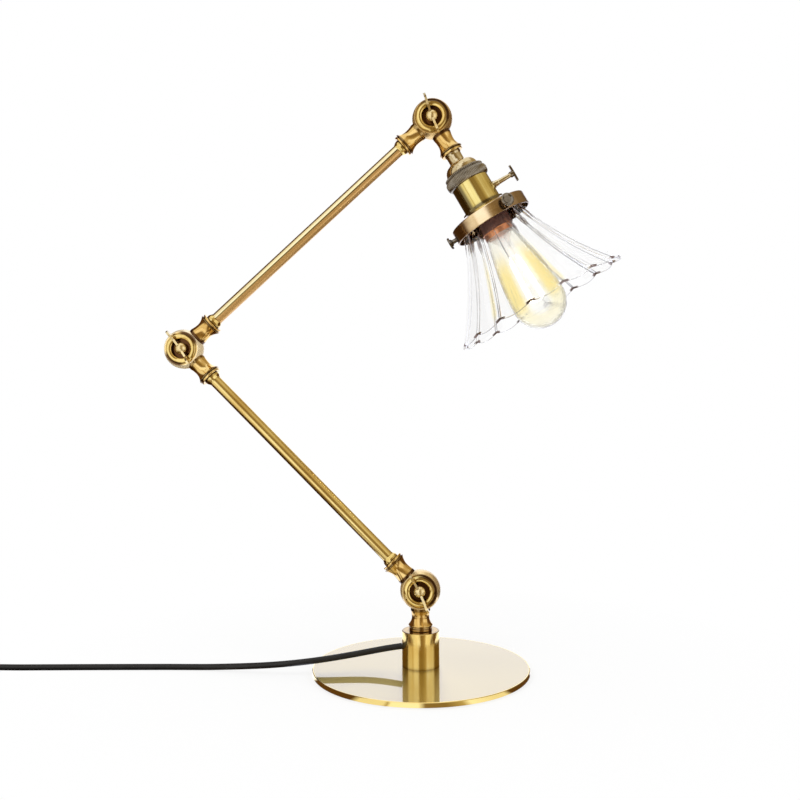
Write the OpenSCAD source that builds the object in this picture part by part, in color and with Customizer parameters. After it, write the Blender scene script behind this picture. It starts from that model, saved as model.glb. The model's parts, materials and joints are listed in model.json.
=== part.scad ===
/* [Base] */
// Diameter of the round base plate
disc_d = 177.8; // [140:0.1:240]
// Thickness of the base plate
disc_t = 4; // [4:0.1:8]
// Chamfer round both edges of the plate and of the column
edge_chamfer = 0.4; // [0.2:0.1:0.8]
// Thickness of the soft pad under the plate
pad_t = 0.8; // [0.5:0.1:3]
// How far the pad stays inside the edge of the plate
pad_margin = 5; // [2:0.5:15]
// Diameter of the upright column
column_d = 30.8; // [27:0.1:40]
// Height of the column above the plate
column_h = 29.3; // [26:0.1:60]
// Wall of the column round its cavity
column_wall = 3.2; // [2.6:0.1:4.5]
// Thickness of the column's floor, which takes the screw
column_floor = 8; // [7:0.1:9]
// Thickness of the cap let into the top of the column
column_cap_t = 4; // [2.5:0.1:5]

/* [Arms] */
// Length of each arm from pivot to pivot
arm_len = 282.7; // [150:0.1:400]
// Outside diameter of the arm tubes
tube_d = 10; // [9.4:0.1:11]
// Wall of the arm tubes
tube_wall = 1; // [0.6:0.1:1.5]
// How deep the tubes are screwed into the necks
tube_depth = 7.5; // [4:0.1:9]
// Angle of the lower arm above the table, counted from the right
lower_angle = 134.7; // [100:0.1:160]
// Angle of the upper arm above the table
upper_angle = 41.6; // [20:0.1:60]
// Angle of the lamp head, below the horizontal to the right
head_angle = -60.5; // [-80:0.1:-40]

/* [Necks] */
// Radius of a neck where it meets its ball
neck_root_r = 8; // [7.6:0.05:8.1]
// Radius of a neck at its waist
neck_waist_r = 7.15; // [6.9:0.05:7.4]
// Radius of the sharp collar that a neck flares out to
neck_collar_r = 10; // [9.6:0.05:11]
// Radius of the plain ring beyond the collar
neck_ring_r = 9.3; // [8.8:0.05:9.5]
// Depth of the groove between the collar and the ring
neck_groove = 0.7; // [0.3:0.05:1]
// Distance from an arm's pivot to the end of its neck
neck_len = 33.6; // [32:0.1:40]
// Height of the ring at the end of an arm's neck
neck_ring_h = 1.8; // [1.4:0.1:2.2]
// Distance from the lowest pivot to the top of the column
base_neck_len = 33; // [32.4:0.1:40]
// Height of the ring that stands on the column
base_ring_h = 3.6; // [3:0.1:4]
// Length of the small turned ferrule on a tube beside its neck
ferrule_len = 4.6; // [3:0.1:8]
// Radius of the ferrule at its thick end
ferrule_r = 6.7; // [6.3:0.05:7.2]

/* [Swivels] */
// Diameter of the ball of a swivel
ball_d = 33.2; // [32.8:0.1:34]
// Half the thickness of a ball, from its seam to its flat face
ball_half = 8.2; // [8.2:0.1:9]
// Gap between the two halves of a ball
seam = 0.3; // [0.3:0.05:0.6]
// Radius of the cavity that the wires pass through
cavity_r = 13; // [12:0.1:13.4]
// Depth of that cavity in each half
cavity_h = 4; // [3.5:0.1:4.3]
// Radius of the hub round the screw
hub_r = 4.6; // [4:0.1:5.5]
// Thickness of the fibre washer between the hubs
washer_t = 0.5; // [0.3:0.1:0.8]
// Outer radius of the raised ring on a ball's face
ring_r = 12.9; // [12:0.1:13.2]
// Inner radius of that ring, and of the recess in it
recess_r = 8.1; // [7.6:0.1:8.6]
// Depth of the recess below the ball's face
recess_depth = 2.6; // [2.2:0.1:2.9]
// How deep the ring is let into the face
ring_seat = 1; // [0.5:0.1:1.4]
// How far the ring stands proud of the face
ring_crest = 1.6; // [1:0.1:2.2]
// Radius of the wing screw's shank
screw_r = 2.5; // [2:0.1:3]
// Radius of the wing screw's round head
wing_head_r = 4.9; // [4.4:0.1:5.4]
// Height of the wing screw's domed head above the ball's face
wing_dome = 4.7; // [4.2:0.1:6]
// Radius that the tips of the wings reach
wing_reach = 17.2; // [16:0.1:19]
// Radius of a wing's round end
wing_tip_r = 2.6; // [2.2:0.1:3]
// Thickness of the wings
wing_t = 1.8; // [1.2:0.1:2.4]
// Direction of the wings at the base, elbow and head
wing_angles = [115.9, 124.4, 110]; // [0:0.1:180]
// Width of the hexagon nuts behind the swivels, across their flats
nut_af = 8; // [7:0.1:9]
// Thickness of those nuts
nut_t = 4; // [3:0.1:4.5]

/* [Socket] */
// Length of the sleeve between the neck and the socket
coupling_len = 9; // [7:0.1:14]
// Radius of that sleeve at its middle
coupling_r = 6.4; // [6:0.05:6.8]
// Height of the socket cap's dome
dome_h = 8.1; // [6:0.1:10]
// Radius of the socket cap's skirt
dome_r = 14.2; // [14:0.05:14.4]
// Largest radius of the ribbed collar
collar_r = 18.4; // [17.8:0.05:19.4]
// Height of the ribbed collar
collar_h = 11.4; // [10:0.1:13]
// Outer radius of the socket shell
shell_r = 16.1; // [16:0.05:16.6]
// Wall of the socket shell and cap
shell_t = 0.9; // [0.6:0.05:1]
// Length of the shell that shows, from the collar to its flange
shell_len = 22.2; // [19:0.1:30]
// Radius of the flange at the shell's lower end
flange_r = 18.4; // [18:0.05:20]
// Thickness of that flange
flange_t = 1.6; // [1:0.1:2.4]
// Distance from the collar to the switch key's stem
key_drop = 11.3; // [7:0.1:11.5]
// Distance from the socket's axis to the key's crossbar
key_reach = 33.8; // [26:0.1:36]
// Length of the key's crossbar
key_bar = 14.4; // [10:0.1:18]
// How far the insulating sleeve reaches below the shell's flange
liner_len = 21.2; // [19:0.1:22]

/* [Shade holder] */
// Outer radius of the holder's band
holder_r = 33; // [32:0.1:36]
// Height of the band
band_h = 11.4; // [10.5:0.1:13]
// Rise of the sloping shoulder above the band
shoulder_h = 4.4; // [3.5:0.1:6]
// Thickness of the holder's sheet metal
holder_t = 1; // [0.8:0.1:1.2]
// Radius of the thumb screws' shanks
thumb_r = 1.9; // [1.5:0.1:2.2]
// Radius of the thumb screws' round heads
thumb_head_r = 5.2; // [4.5:0.1:5.6]
// Length of the shank between the band and a thumb screw's head
thumb_stem = 4.4; // [3:0.1:7]
// Direction of the first thumb screw, from the front to the right
thumb_angle = 22; // [0:1:119]

/* [Glass shade] */
// Diameter at the rim, between the crests and the creases
rim_d = 147; // [120:0.5:170]
// Length of the shade from its lip to its rim
shade_len = 86.4; // [75:0.1:100]
// Radius of the neck that the screws press on
shade_neck_r = 27.2; // [26.8:0.1:28]
// Radius of the bead round the top of the neck
shade_lip_r = 28.8; // [28.4:0.1:29.4]
// Thickness of the glass
glass_t = 2.4; // [1.8:0.1:3]
// Number of flutes
flutes = 16; // [8:1:24]
// Depth of the flutes at the rim
flute_depth = 2.6; // [1:0.1:4]
// Height of the scallops round the rim
scallop = 2.4; // [0:0.1:4]
// Curve of the wall, from 0 for a straight cone
flare = 0.32; // [0:0.01:0.5]

/* [Bulb] */
// Largest diameter of the bulb
bulb_d = 45; // [40:0.5:50]
// Length of the bulb with its cap
bulb_len = 110; // [105:0.5:125]
// Diameter of the screw cap
cap_d = 26.1; // [25.8:0.1:26.4]
// Length of the screw cap
cap_len = 24; // [23:0.1:25]
// Thickness of the bulb's glass
bulb_wall = 0.8; // [0.6:0.1:1.2]
// Number of glowing filament sticks
filaments = 4; // [2:1:6]
// Length of the filament sticks
filament_len = 36; // [28:1:40]

/* [Cord] */
// Diameter of the cord
cord_d = 5; // [4.6:0.1:5.2]
// Height of the cord's exit above the plate
cord_exit_h = 15.8; // [15:0.1:16.4]
// Radius of the coil's innermost turn
coil_in_r = 19.6; // [18:0.1:24]
// Distance between turns and between layers
coil_pitch = 5.45; // [5.42:0.01:6]
// Number of turns in the coil
coil_turns = 7.5; // [3.5:1:9.5]
// Thickness of the tie round the coil
tie_t = 0.8; // [0.6:0.1:1.5]
// Width of the tie
tie_w = 5; // [3:0.5:8]
// Length of the plug's body
plug_len = 28; // [24:0.5:36]
// Width of the plug's body
plug_w = 25; // [22:0.5:30]
// Thickness of the plug's body
plug_t = 16; // [14:0.5:20]
// Length of the plug's blades
blade_len = 17; // [15:0.1:18]

/* [Hidden] */
$fn = 96;

// Colours
brass = "#b8924a";
bronze = "#6f5c45";
steel = "#9a9a96";
black = "#1c1c1e";
copper = "#b5622f";
fibre = "#4a3a2c";
white = "#e8e4da";
clear_glass = [0.85, 0.9, 0.92, 0.35];
amber_glass = [0.95, 0.85, 0.5, 0.4];

// Clearances
slip = 0.05; // between a screwed or pressed piece and its hole
run = 0.06; // between a turning shank and its bore
rest = 0.3; // between pieces of different bodies, and from a soft piece to its seat
eps = 0.01; // lets a cut run past the face that it opens

// Heights of the base, and the three pivots
disc_top = pad_t + disc_t;
column_top = disc_top + column_h;
base_z = column_top + base_neck_len;
elbow_at = [arm_len * cos(lower_angle), 0, base_z + arm_len * sin(lower_angle)];
head_at = elbow_at + arm_len * [cos(upper_angle), 0, sin(upper_angle)];

// Inside of the column
column_r = column_d / 2;
column_cavity_r = column_r - column_wall;
column_mouth_r = column_cavity_r + column_wall / 2;
column_nut_top = column_top - column_cap_t;
base_screw_r = 3;
base_screw_head_r = 6;
base_screw_head_h = 3;
base_screw_len = disc_t + column_floor - 1;
stud_nut_t = 4;
stud_nut_af = 13;
stud_len = column_cap_t + stud_nut_t + 1;
exit_z = disc_top + cord_exit_h;
bushing_wall = 0.9;

// Swivels, necks and the wires inside them
ball_r = ball_d / 2;
tube_r = tube_d / 2;
neck_bore_r = tube_r + slip;
neck_root = cavity_r + 0.6; // a neck begins inside the ball's wall
neck_waist_share = 0.46; // place of the waist between the ball and the collar
hub_gap = washer_t + rest;
wire_bore_r = 3;
wire_r = 1.3;
wire_offset = wire_r + 0.15;
wire_start = ball_r + 1;

// Places along the head's axis, counted from the head's pivot
cap_top = neck_len + coupling_len;
collar_top = cap_top + dome_h;
shell_top = collar_top + 4.4;
collar_bottom = collar_top + collar_h;
flange_top = collar_bottom + shell_len;
holder_top = flange_top + flange_t;
band_top = holder_top + shoulder_h;
band_bottom = band_top + band_h;
block_top = collar_bottom;
block_bottom = flange_top - 2.4;
liner_bottom = holder_top + liner_len;
key_s = collar_bottom + key_drop;
thumb_s = band_top + band_h * 0.52;
bulb_top = holder_top + 1.8;
cap_bottom = bulb_top + cap_len;

// Radii in the socket
cap_neck_r = coupling_r + 0.5;
boss_h = 4.4;
cap_r = cap_d / 2;
screw_shell_t = 0.5;
screw_shell_r = cap_r + rest + screw_shell_t;
liner_r = screw_shell_r + 0.75;
block_r = shell_r - shell_t - 0.1;
key_stem_r = 1.5;
key_bushing_r = 3.2;
key_bushing_end = shell_r + 0.9;
plate_r = flange_r + 0.4; // where the holder's flat top turns into the shoulder
shoulder_r = holder_r - 1.2; // where the shoulder turns into the band

// Shade and bulb
shade_top = band_top + 0.7;
shade_foot_s = band_bottom + 1;
shade_foot_r = shade_neck_r + 1.3;
rim_s = shade_top + shade_len;
bulb_r = bulb_d / 2;
bulb_neck_r = cap_r - 0.9;
bulb_round_s = bulb_top + bulb_len - bulb_r;
stem_r = 3.2;
rod_r = 1.2;
stem_s = cap_bottom + 24;
rod_end = stem_s + filament_len + 4;

// Route of the cord's axis, from inside the column over the table to the coil
cord_r = cord_d / 2;
table_z = cord_r;
coil_z = tie_t + 0.2 + cord_r;
cord_points = [
    [-7, 0, exit_z], [-15.5, 0, exit_z], [-26, -0.4, 19], [-40, -2.9, 16.9], [-54, -7.6, 15.3],
    [-68, -13.2, 14.1], [-80, -17.5, 13.2], [-92, -20.1, 12.1], [-104, -20.9, 10.8],
    [-116, -20.3, 9.4], [-128, -18.5, 7.9], [-140, -15.9, 6.4], [-152, -13.2, 5],
    [-164, -10.9, 3.8], [-176, -9.3, 2.9], [-190, -8.9, table_z], [-208, -9.8, table_z],
    [-226, -11.1, table_z], [-244, -12.4, table_z], [-262, -13.8, table_z],
    [-280, -15.2, table_z], [-298, -16.7, table_z], [-316, -18.1, table_z],
    [-334, -19.5, table_z], [-352, -20.8, 2.7], [-368, -21.9, 3], [-384, -22.8, 3.3],
    [-398, -23.4, coil_z]
];

// The coil and the plug
rings_per_turn = 24;
coil_rings = coil_turns * rings_per_turn;
coil_mid = coil_turns * 180;
coil_out_r = coil_in_r + coil_pitch * coil_turns / 2;
coil_start = cord_points[len(cord_points) - 1];
coil_centre = [coil_start[0] - cord_d, coil_start[1] - coil_out_r, coil_z];
lead_len = 20;
boot_len = 22;
plug_z = plug_t / 2;

// Radius of the corners of a hexagon, from its width across the flats
function corner_r(flats) = flats / 2 / cos(30);

// Points of a round stretch of an outline
function arc(centre, r, from, to, steps) =
    [for (i = [0:steps]) let (a = from + (to - from) * i / steps) centre + r * [cos(a), sin(a)]];

// Outline of a rectangle with round corners
function rounded_box(w, h, r) = concat(
    arc([w / 2 - r, h / 2 - r], r, 0, 90, 6),
    arc([r - w / 2, h / 2 - r], r, 90, 180, 6),
    arc([r - w / 2, r - h / 2], r, 180, 270, 6),
    arc([w / 2 - r, r - h / 2], r, 270, 360, 6)
);

// A solid turned from an outline of [radius, height] points
module turned(outline) rotate_extrude() polygon(outline);

// A straight round tube along Z, from one height to another
module pipe(outer, inner, from, to) {
    difference() {
        translate([0, 0, from]) cylinder(r = outer, h = to - from);
        translate([0, 0, from - 1]) cylinder(r = inner, h = to - from + 2);
    }
}

// Turns a shape that stands along Z so that it points at an angle in the lamp's plane
module along(angle) rotate([0, 90 - angle, 0]) children();

// The front and rear of a swivel lie along Y: side is -1 in front and 1 behind
module facing(side) rotate([-90 * side, 0, 0]) children();

module at_base() translate([0, 0, base_z]) children();
module at_elbow() translate(elbow_at) children();
module at_head() translate(head_at) children();
module on_head() at_head() along(head_angle) children();

// Outline of a neck: it narrows from the ball to a waist, flares to a sharp collar,
// and ends in a plain ring beyond a groove
function neck_outline(length, ring_h) =
    let (
        collar_s = length - ring_h - 1.2,
        waist_s = ball_r + (collar_s - ball_r) * neck_waist_share,
        below = (neck_root_r - neck_waist_r) / pow(waist_s - ball_r, 2),
        above = (neck_collar_r - neck_waist_r) / pow(collar_s - waist_s, 2),
        groove_r = neck_ring_r - neck_groove,
        soft = 0.5,
        steps = 8
    )
    concat(
        [[0, neck_root], [neck_root_r, neck_root]],
        [for (i = [0:steps]) let (s = ball_r + (waist_s - ball_r) * i / steps)
            [neck_waist_r + below * pow(waist_s - s, 2), s]],
        [for (i = [1:steps]) let (s = waist_s + (collar_s - waist_s) * i / steps)
            [neck_waist_r + above * pow(s - waist_s, 2), s]],
        [[neck_collar_r, collar_s + 0.5], [groove_r, collar_s + 0.8], [groove_r, collar_s + 1.2]],
        arc([neck_ring_r - soft, length - ring_h + soft], soft, -90, 0, 3),
        arc([neck_ring_r - soft, length - soft], soft, 0, 90, 3),
        [[0, length]]
    );

// A ring with a round crest, as it is let into the face of a ball
module crest_ring(outer, inner, from, face, crest) {
    half = (outer - inner) / 2;
    steps = 12;
    turned(concat(
        [[inner, from], [outer, from]],
        [for (i = [0:steps]) let (a = 180 * i / steps)
            [inner + half + half * cos(a), face + crest * sin(a)]]
    ));
}

// Half of a ball, standing on its seam with its face up: the rear one has the raised ring on it,
// the front one a seat for a separate ring
module ball_half_solid(lip) {
    difference() {
        union() {
            intersection() {
                sphere(r = ball_r);
                translate([0, 0, seam / 2]) cylinder(r = ball_r + 1, h = ball_half - seam / 2);
            }
            if (lip) crest_ring(ring_r, recess_r, ball_half - ring_seat, ball_half, ring_crest);
        }
        translate([0, 0, ball_half - recess_depth]) cylinder(r = recess_r, h = recess_depth + 3);
        if (!lip) translate([0, 0, ball_half - ring_seat]) cylinder(r = ring_r + slip, h = ring_seat + 1);
    }
}

// What is hollow in that half: the cavity for the wires, room for the washer, and the bore
module ball_half_cuts() {
    pipe(cavity_r, hub_r, seam / 2 - 1, cavity_h);
    translate([0, 0, -1]) cylinder(r = hub_r + eps, h = 1 + hub_gap / 2);
    translate([0, 0, -1]) cylinder(r = screw_r + run, h = ball_half + 2);
}

// Half a ball with its neck, which clears the other half as that turns under it
module swivel_half(side, length, ring_h, lip) {
    difference() {
        union() {
            facing(side) ball_half_solid(lip);
            turned(neck_outline(length, ring_h));
        }
        facing(side) ball_half_cuts();
        facing(-side) intersection() {
            sphere(r = ball_r + rest);
            translate([0, 0, -seam / 2]) cylinder(r = ball_r + 1, h = ball_r + 1);
        }
        translate([0, 0, cavity_r - 1]) cylinder(r = wire_bore_r, h = length);
    }
}

// A half for an arm or the head, with its neck bored for a tube
module arm_swivel_half(side, lip) {
    difference() {
        swivel_half(side, neck_len, neck_ring_h, lip);
        translate([0, 0, neck_len - tube_depth]) cylinder(r = neck_bore_r, h = tube_depth + 1);
    }
}

// The raised ring let into the front face of a ball
module face_ring() facing(-1) crest_ring(ring_r, recess_r, ball_half - ring_seat, ball_half, ring_crest);

// A wing screw: shank, domed head and two wings
module wing_screw(direction) {
    head_from = ball_half - recess_depth + rest;
    head_to = ball_half + 1.4;
    dome_top = ball_half + wing_dome;
    dome_rise = dome_top - head_to;
    dome_ball_r = (wing_head_r * wing_head_r + dome_rise * dome_rise) / (2 * dome_rise);
    dome_from = asin((dome_ball_r - dome_rise) / dome_ball_r);
    tip = ball_half - recess_depth + nut_t - 0.4;
    wing_outline = concat(
        [[wing_head_r - 1.1, ball_half + 1.2], [8, ball_half + ring_crest + 0.8]],
        arc([wing_reach - wing_tip_r, ball_half + 7.2], wing_tip_r, -50, 140, 12),
        [[8.4, ball_half + 5.2], [wing_head_r - 2, dome_top - 0.6]]
    );
    facing(-1) {
        translate([0, 0, -tip]) cylinder(r = screw_r, h = tip + head_from + eps);
        turned(concat(
            [[0, head_from], [wing_head_r, head_from]],
            arc([0, dome_top - dome_ball_r], dome_ball_r, dome_from, 90, 8)
        ));
        for (turn = [0, 180])
            rotate([0, 0, direction + turn]) rotate([90, 0, 0])
                translate([0, 0, -wing_t / 2]) linear_extrude(wing_t) polygon(wing_outline);
    }
}

// A hexagon nut in the recess of the rear half
module swivel_nut() {
    facing(1) difference() {
        translate([0, 0, ball_half - recess_depth]) cylinder(r = corner_r(nut_af), h = nut_t, $fn = 6);
        cylinder(r = screw_r + run, h = ball_half + nut_t);
    }
}

// The fibre washer on the rear hub
module swivel_washer() facing(1) pipe(hub_r, screw_r + rest, hub_gap / 2 - washer_t, hub_gap / 2);

// Two wires side by side along Z
module wire_pair(from, to) {
    color(black) for (side = [-1, 1])
        translate([0, side * wire_offset, from]) cylinder(r = wire_r, h = to - from, $fn = 24);
}

module base_pad() color(black) cylinder(d = disc_d - 2 * pad_margin, h = pad_t);

module base_disc() {
    color(brass) difference() {
        turned([
            [0, pad_t], [disc_d / 2 - edge_chamfer, pad_t], [disc_d / 2, pad_t + edge_chamfer],
            [disc_d / 2, disc_top - edge_chamfer], [disc_d / 2 - edge_chamfer, disc_top], [0, disc_top]
        ]);
        translate([0, 0, pad_t - 1]) cylinder(r = base_screw_r + slip, h = disc_t + 2);
        translate([0, 0, pad_t - eps])
            cylinder(r1 = base_screw_head_r + slip, r2 = base_screw_r + slip, h = base_screw_head_h + eps);
    }
}

// Countersunk screw that holds the column to the plate from below
module base_screw() {
    color(steel) turned([
        [0, pad_t], [base_screw_head_r, pad_t], [base_screw_r, pad_t + base_screw_head_h],
        [base_screw_r, pad_t + base_screw_len], [0, pad_t + base_screw_len]
    ]);
}

// Places a shape on the cord's way out of the column, along its own Z
module at_exit() translate([0, 0, exit_z]) rotate([0, -90, 0]) children();

module column() {
    color(brass) difference() {
        turned([
            [0, disc_top], [column_r, disc_top], [column_r, column_top - edge_chamfer],
            [column_r - edge_chamfer, column_top], [0, column_top]
        ]);
        translate([0, 0, disc_top + column_floor]) cylinder(r = column_cavity_r, h = column_h);
        translate([0, 0, column_nut_top]) cylinder(r = column_mouth_r + slip, h = column_cap_t + 1);
        translate([0, 0, disc_top - 1]) cylinder(r = base_screw_r + slip, h = column_floor + 2);
        at_exit() cylinder(r = cord_r + bushing_wall + slip, h = column_r + 1);
    }
}

module column_cap() color(brass) pipe(column_mouth_r, neck_bore_r, column_nut_top, column_top);

// Nut on the stud, under the column's cap
module column_nut() {
    color(steel) difference() {
        translate([0, 0, column_nut_top - stud_nut_t])
            cylinder(r = corner_r(stud_nut_af), h = stud_nut_t, $fn = 6);
        translate([0, 0, column_nut_top - stud_nut_t - 1]) cylinder(r = neck_bore_r, h = stud_nut_t + 2);
    }
}

// Bushing in the column's wall, with a lip inside
module cord_bushing() {
    outer = cord_r + bushing_wall;
    lip_r = outer + 0.8;
    seat = sqrt(column_cavity_r * column_cavity_r - lip_r * lip_r) - 0.1;
    color(black) at_exit() {
        pipe(outer, cord_r + 0.1, seat - 1, column_r - 0.2);
        pipe(lip_r, cord_r + 0.1, seat - 1, seat);
    }
}

// Front half of the lowest swivel: its neck stands on the column, and its stud goes through the cap
module base_swivel_front() {
    color(brass) at_base() along(-90) difference() {
        union() {
            swivel_half(-1, base_neck_len, base_ring_h, false);
            translate([0, 0, base_neck_len - 1]) cylinder(r = tube_r, h = stud_len + 1);
        }
        translate([0, 0, cavity_r]) cylinder(r = wire_bore_r, h = base_neck_len + stud_len);
    }
}

// The cord's two wires, from its stripped end up through the stud
module base_wires() {
    run_in = -cord_points[0][0] - rest;
    wire_pair(exit_z, base_z - wire_start);
    color(black) for (side = [-1, 1])
        translate([0, side * wire_offset, exit_z]) {
            sphere(r = wire_r, $fn = 24);
            rotate([0, -90, 0]) cylinder(r = wire_r, h = run_in, $fn = 24);
        }
}

module base_ring() color(brass) at_base() face_ring();
module base_wing() color(brass) at_base() wing_screw(wing_angles[0]);
module base_swivel_rear() color(brass) at_base() along(lower_angle) arm_swivel_half(1, true);
module base_nut() color(steel) at_base() along(lower_angle) swivel_nut();
module base_washer() color(fibre) at_base() swivel_washer();

// A tube screwed into the necks at both ends of an arm
module arm_tube() {
    color(brass) pipe(tube_r, tube_r - tube_wall, neck_len - tube_depth, arm_len - neck_len + tube_depth);
}

// Turned ferrule on a tube, against the end of its neck
module ferrule() {
    end_r = tube_r + 0.3;
    steps = 6;
    difference() {
        turned(concat(
            [[0, neck_len], [ferrule_r - 0.3, neck_len], [ferrule_r, neck_len + 0.4]],
            [for (i = [0:steps]) let (t = i / steps)
                [end_r + (ferrule_r - 0.15 - end_r) * (1 + cos(180 * t)) / 2,
                 neck_len + ferrule_len * (0.35 + 0.65 * t)]],
            [[0, neck_len + ferrule_len]]
        ));
        translate([0, 0, neck_len - 1]) cylinder(r = neck_bore_r, h = ferrule_len + 2);
    }
}

module arm_ferrules() {
    color(brass) {
        ferrule();
        translate([0, 0, arm_len]) mirror([0, 0, 1]) ferrule();
    }
}

module lower_tube() at_base() along(lower_angle) arm_tube();
module lower_ferrules() at_base() along(lower_angle) arm_ferrules();
module lower_wires() at_base() along(lower_angle) wire_pair(wire_start, arm_len - wire_start);
module elbow_swivel_front() color(brass) at_elbow() along(lower_angle + 180) arm_swivel_half(-1, false);
module elbow_ring() color(brass) at_elbow() face_ring();
module elbow_wing() color(brass) at_elbow() wing_screw(wing_angles[1]);

module elbow_swivel_rear() color(brass) at_elbow() along(upper_angle) arm_swivel_half(1, true);
module elbow_nut() color(steel) at_elbow() along(upper_angle) swivel_nut();
module elbow_washer() color(fibre) at_elbow() swivel_washer();
module upper_tube() at_elbow() along(upper_angle) arm_tube();
module upper_ferrules() at_elbow() along(upper_angle) arm_ferrules();
module upper_wires() at_elbow() along(upper_angle) wire_pair(wire_start, arm_len - wire_start);
module head_swivel_front() color(brass) at_head() along(upper_angle + 180) arm_swivel_half(-1, false);
module head_ring() color(brass) at_head() face_ring();
module head_wing() color(brass) at_head() wing_screw(wing_angles[2]);

module head_swivel_rear() color(brass) on_head() arm_swivel_half(1, true);
module head_nut() color(steel) on_head() swivel_nut();
module head_washer() color(fibre) on_head() swivel_washer();

// Sleeve round the nipple, a little wider at both ends
module head_coupling() {
    fillet = coupling_len * 0.25;
    color(bronze) on_head() difference() {
        turned([
            [0, neck_len], [cap_neck_r, neck_len], [cap_neck_r, neck_len + 0.8],
            [coupling_r, neck_len + fillet], [coupling_r, cap_top - fillet],
            [cap_neck_r, cap_top], [0, cap_top]
        ]);
        translate([0, 0, neck_len - 1]) cylinder(r = neck_bore_r, h = coupling_len + 2);
    }
}

// Hollow threaded nipple that joins the neck to the socket cap
module head_nipple() {
    color(steel) on_head() pipe(tube_r, wire_bore_r, neck_len - tube_depth, cap_top + boss_h);
}

module head_wires() on_head() wire_pair(wire_start, block_top);

// Domed cap over the switch, with a boss for the nipple
module socket_cap() {
    steps = 10;
    skirt_bottom = shell_top + 3;
    outer = [for (i = [0:steps]) let (a = 90 * (1 - i / steps))
        [cap_neck_r + (dome_r - cap_neck_r) * cos(a), collar_top - dome_h * sin(a)]];
    inner = [for (i = [steps:-1:0]) let (a = 90 * (1 - i / steps))
        [cap_neck_r + (dome_r - shell_t - cap_neck_r) * cos(a), collar_top - (dome_h - shell_t) * sin(a)]];
    color(bronze) on_head() difference() {
        union() {
            turned(concat(
                [[0, cap_top]], outer, [[dome_r, skirt_bottom], [dome_r - shell_t, skirt_bottom]],
                inner, [[0, cap_top + shell_t]]
            ));
            translate([0, 0, cap_top]) cylinder(r = cap_neck_r + 1.4, h = boss_h);
        }
        translate([0, 0, cap_top - 1]) cylinder(r = neck_bore_r, h = boss_h + 2);
    }
}

// Collar that clamps the cap to the shell: a small bead above a broad belly
module socket_collar() {
    bead_r = collar_r - 1.3;
    belly_top = collar_top + collar_h * 0.28;
    belly = collar_bottom - belly_top;
    steps = 6;
    color(bronze) on_head() difference() {
        turned(concat(
            [[0, collar_top], [dome_r + 0.6, collar_top], [dome_r + 1.2, collar_top + 0.5]],
            arc([bead_r - 0.9, collar_top + 1.6], 0.9, -60, 60, 5),
            [[bead_r - 0.6, belly_top - 0.3]],
            [for (i = [0:steps]) let (t = i / steps)
                [collar_r - (collar_r - bead_r) * pow(1 - t, 2), belly_top + belly * 0.35 * t]],
            [for (i = [0:steps]) let (t = i / steps)
                [collar_r - (collar_r - shell_r - 0.4) * pow(t, 2), belly_top + belly * (0.55 + 0.45 * t)]],
            [[0, collar_bottom]]
        ));
        translate([0, 0, collar_top - 1]) cylinder(r = dome_r + slip, h = collar_h + 2);
        translate([0, 0, shell_top - slip]) cylinder(r = shell_r + slip, h = collar_h);
    }
}

// Lines a shape up with the switch key, which points out of the shell along its own Z
module at_key() translate([0, 0, key_s]) rotate([0, -90, 0]) children();

// Shell with the flange that the shade holder is clamped to
module socket_shell() {
    color(brass) on_head() difference() {
        union() {
            pipe(shell_r, shell_r - shell_t, shell_top, holder_top);
            pipe(flange_r, shell_r - shell_t, flange_top, holder_top);
        }
        at_key() cylinder(r = key_bushing_r + slip, h = shell_r + 2);
    }
}

// Insulating block that holds the switch
module switch_block() {
    color(fibre) on_head() difference() {
        translate([0, 0, block_top]) cylinder(r = block_r, h = block_bottom - block_top);
        at_key() cylinder(r = key_stem_r + run, h = block_r + 1);
        at_key() translate([0, 0, block_r - 2.2]) cylinder(r = key_bushing_r + slip, h = 4);
    }
}

module key_bushing() {
    color(bronze) on_head() at_key() pipe(key_bushing_r, key_stem_r + run, block_r - 2, key_bushing_end);
}

// Turn key of the switch: a stem with a ferrule at its root and a crossbar
module switch_key() {
    root = key_bushing_end + rest;
    key_neck_r = key_stem_r + 0.3;
    bar_t = 1.8;
    bar_r = 1.5;
    color(bronze) on_head() at_key() {
        turned([
            [0, 1], [key_stem_r, 1], [key_stem_r, root], [2.6, root], [2.4, root + 2.8],
            [key_neck_r + 0.3, root + 3.4], [key_neck_r, key_reach - 3.2], [2.6, key_reach - 1.8],
            [2.4, key_reach], [0, key_reach]
        ]);
        translate([0, 0, key_reach - eps]) linear_extrude(bar_t) polygon(concat(
            arc([key_bar / 2 - bar_r, 0], bar_r, -90, 90, 8),
            arc([0, 0], bar_r + 0.8, 60, 120, 4),
            arc([bar_r - key_bar / 2, 0], bar_r, 90, 270, 8),
            arc([0, 0], bar_r + 0.8, 240, 300, 4)
        ));
    }
}

// Threaded insulating sleeve round the lamp's screw shell, with a flange under the switch block
module socket_liner() {
    color(fibre) on_head() {
        pipe(liner_r, screw_shell_r + slip, block_bottom, liner_bottom);
        pipe(block_r, screw_shell_r + slip, block_bottom, block_bottom + 2);
    }
}

// Screw shell for the bulb's cap
module screw_shell() {
    color(brass) on_head()
        pipe(screw_shell_r, screw_shell_r - screw_shell_t, block_bottom, liner_bottom - 0.6);
}

// Spring contact under the switch block, which the bulb's tip presses on
module center_contact() {
    strip = 0.5;
    low = bulb_top - block_bottom;
    color(copper) on_head() translate([0, 2.5, block_bottom]) rotate([90, 0, 0]) linear_extrude(5) polygon([
        [-8, 0], [-4, 0], [2, low - strip], [3, low - strip], [3, low], [1.6, low], [-4.3, strip], [-8, strip]
    ]);
}

// Places a shape on the radial line of a thumb screw, pointing outwards along its own Z
module at_thumb(turn) {
    translate([0, 0, thumb_s]) rotate([0, 0, -90 - thumb_angle - turn]) rotate([0, 90, 0]) children();
}

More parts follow.
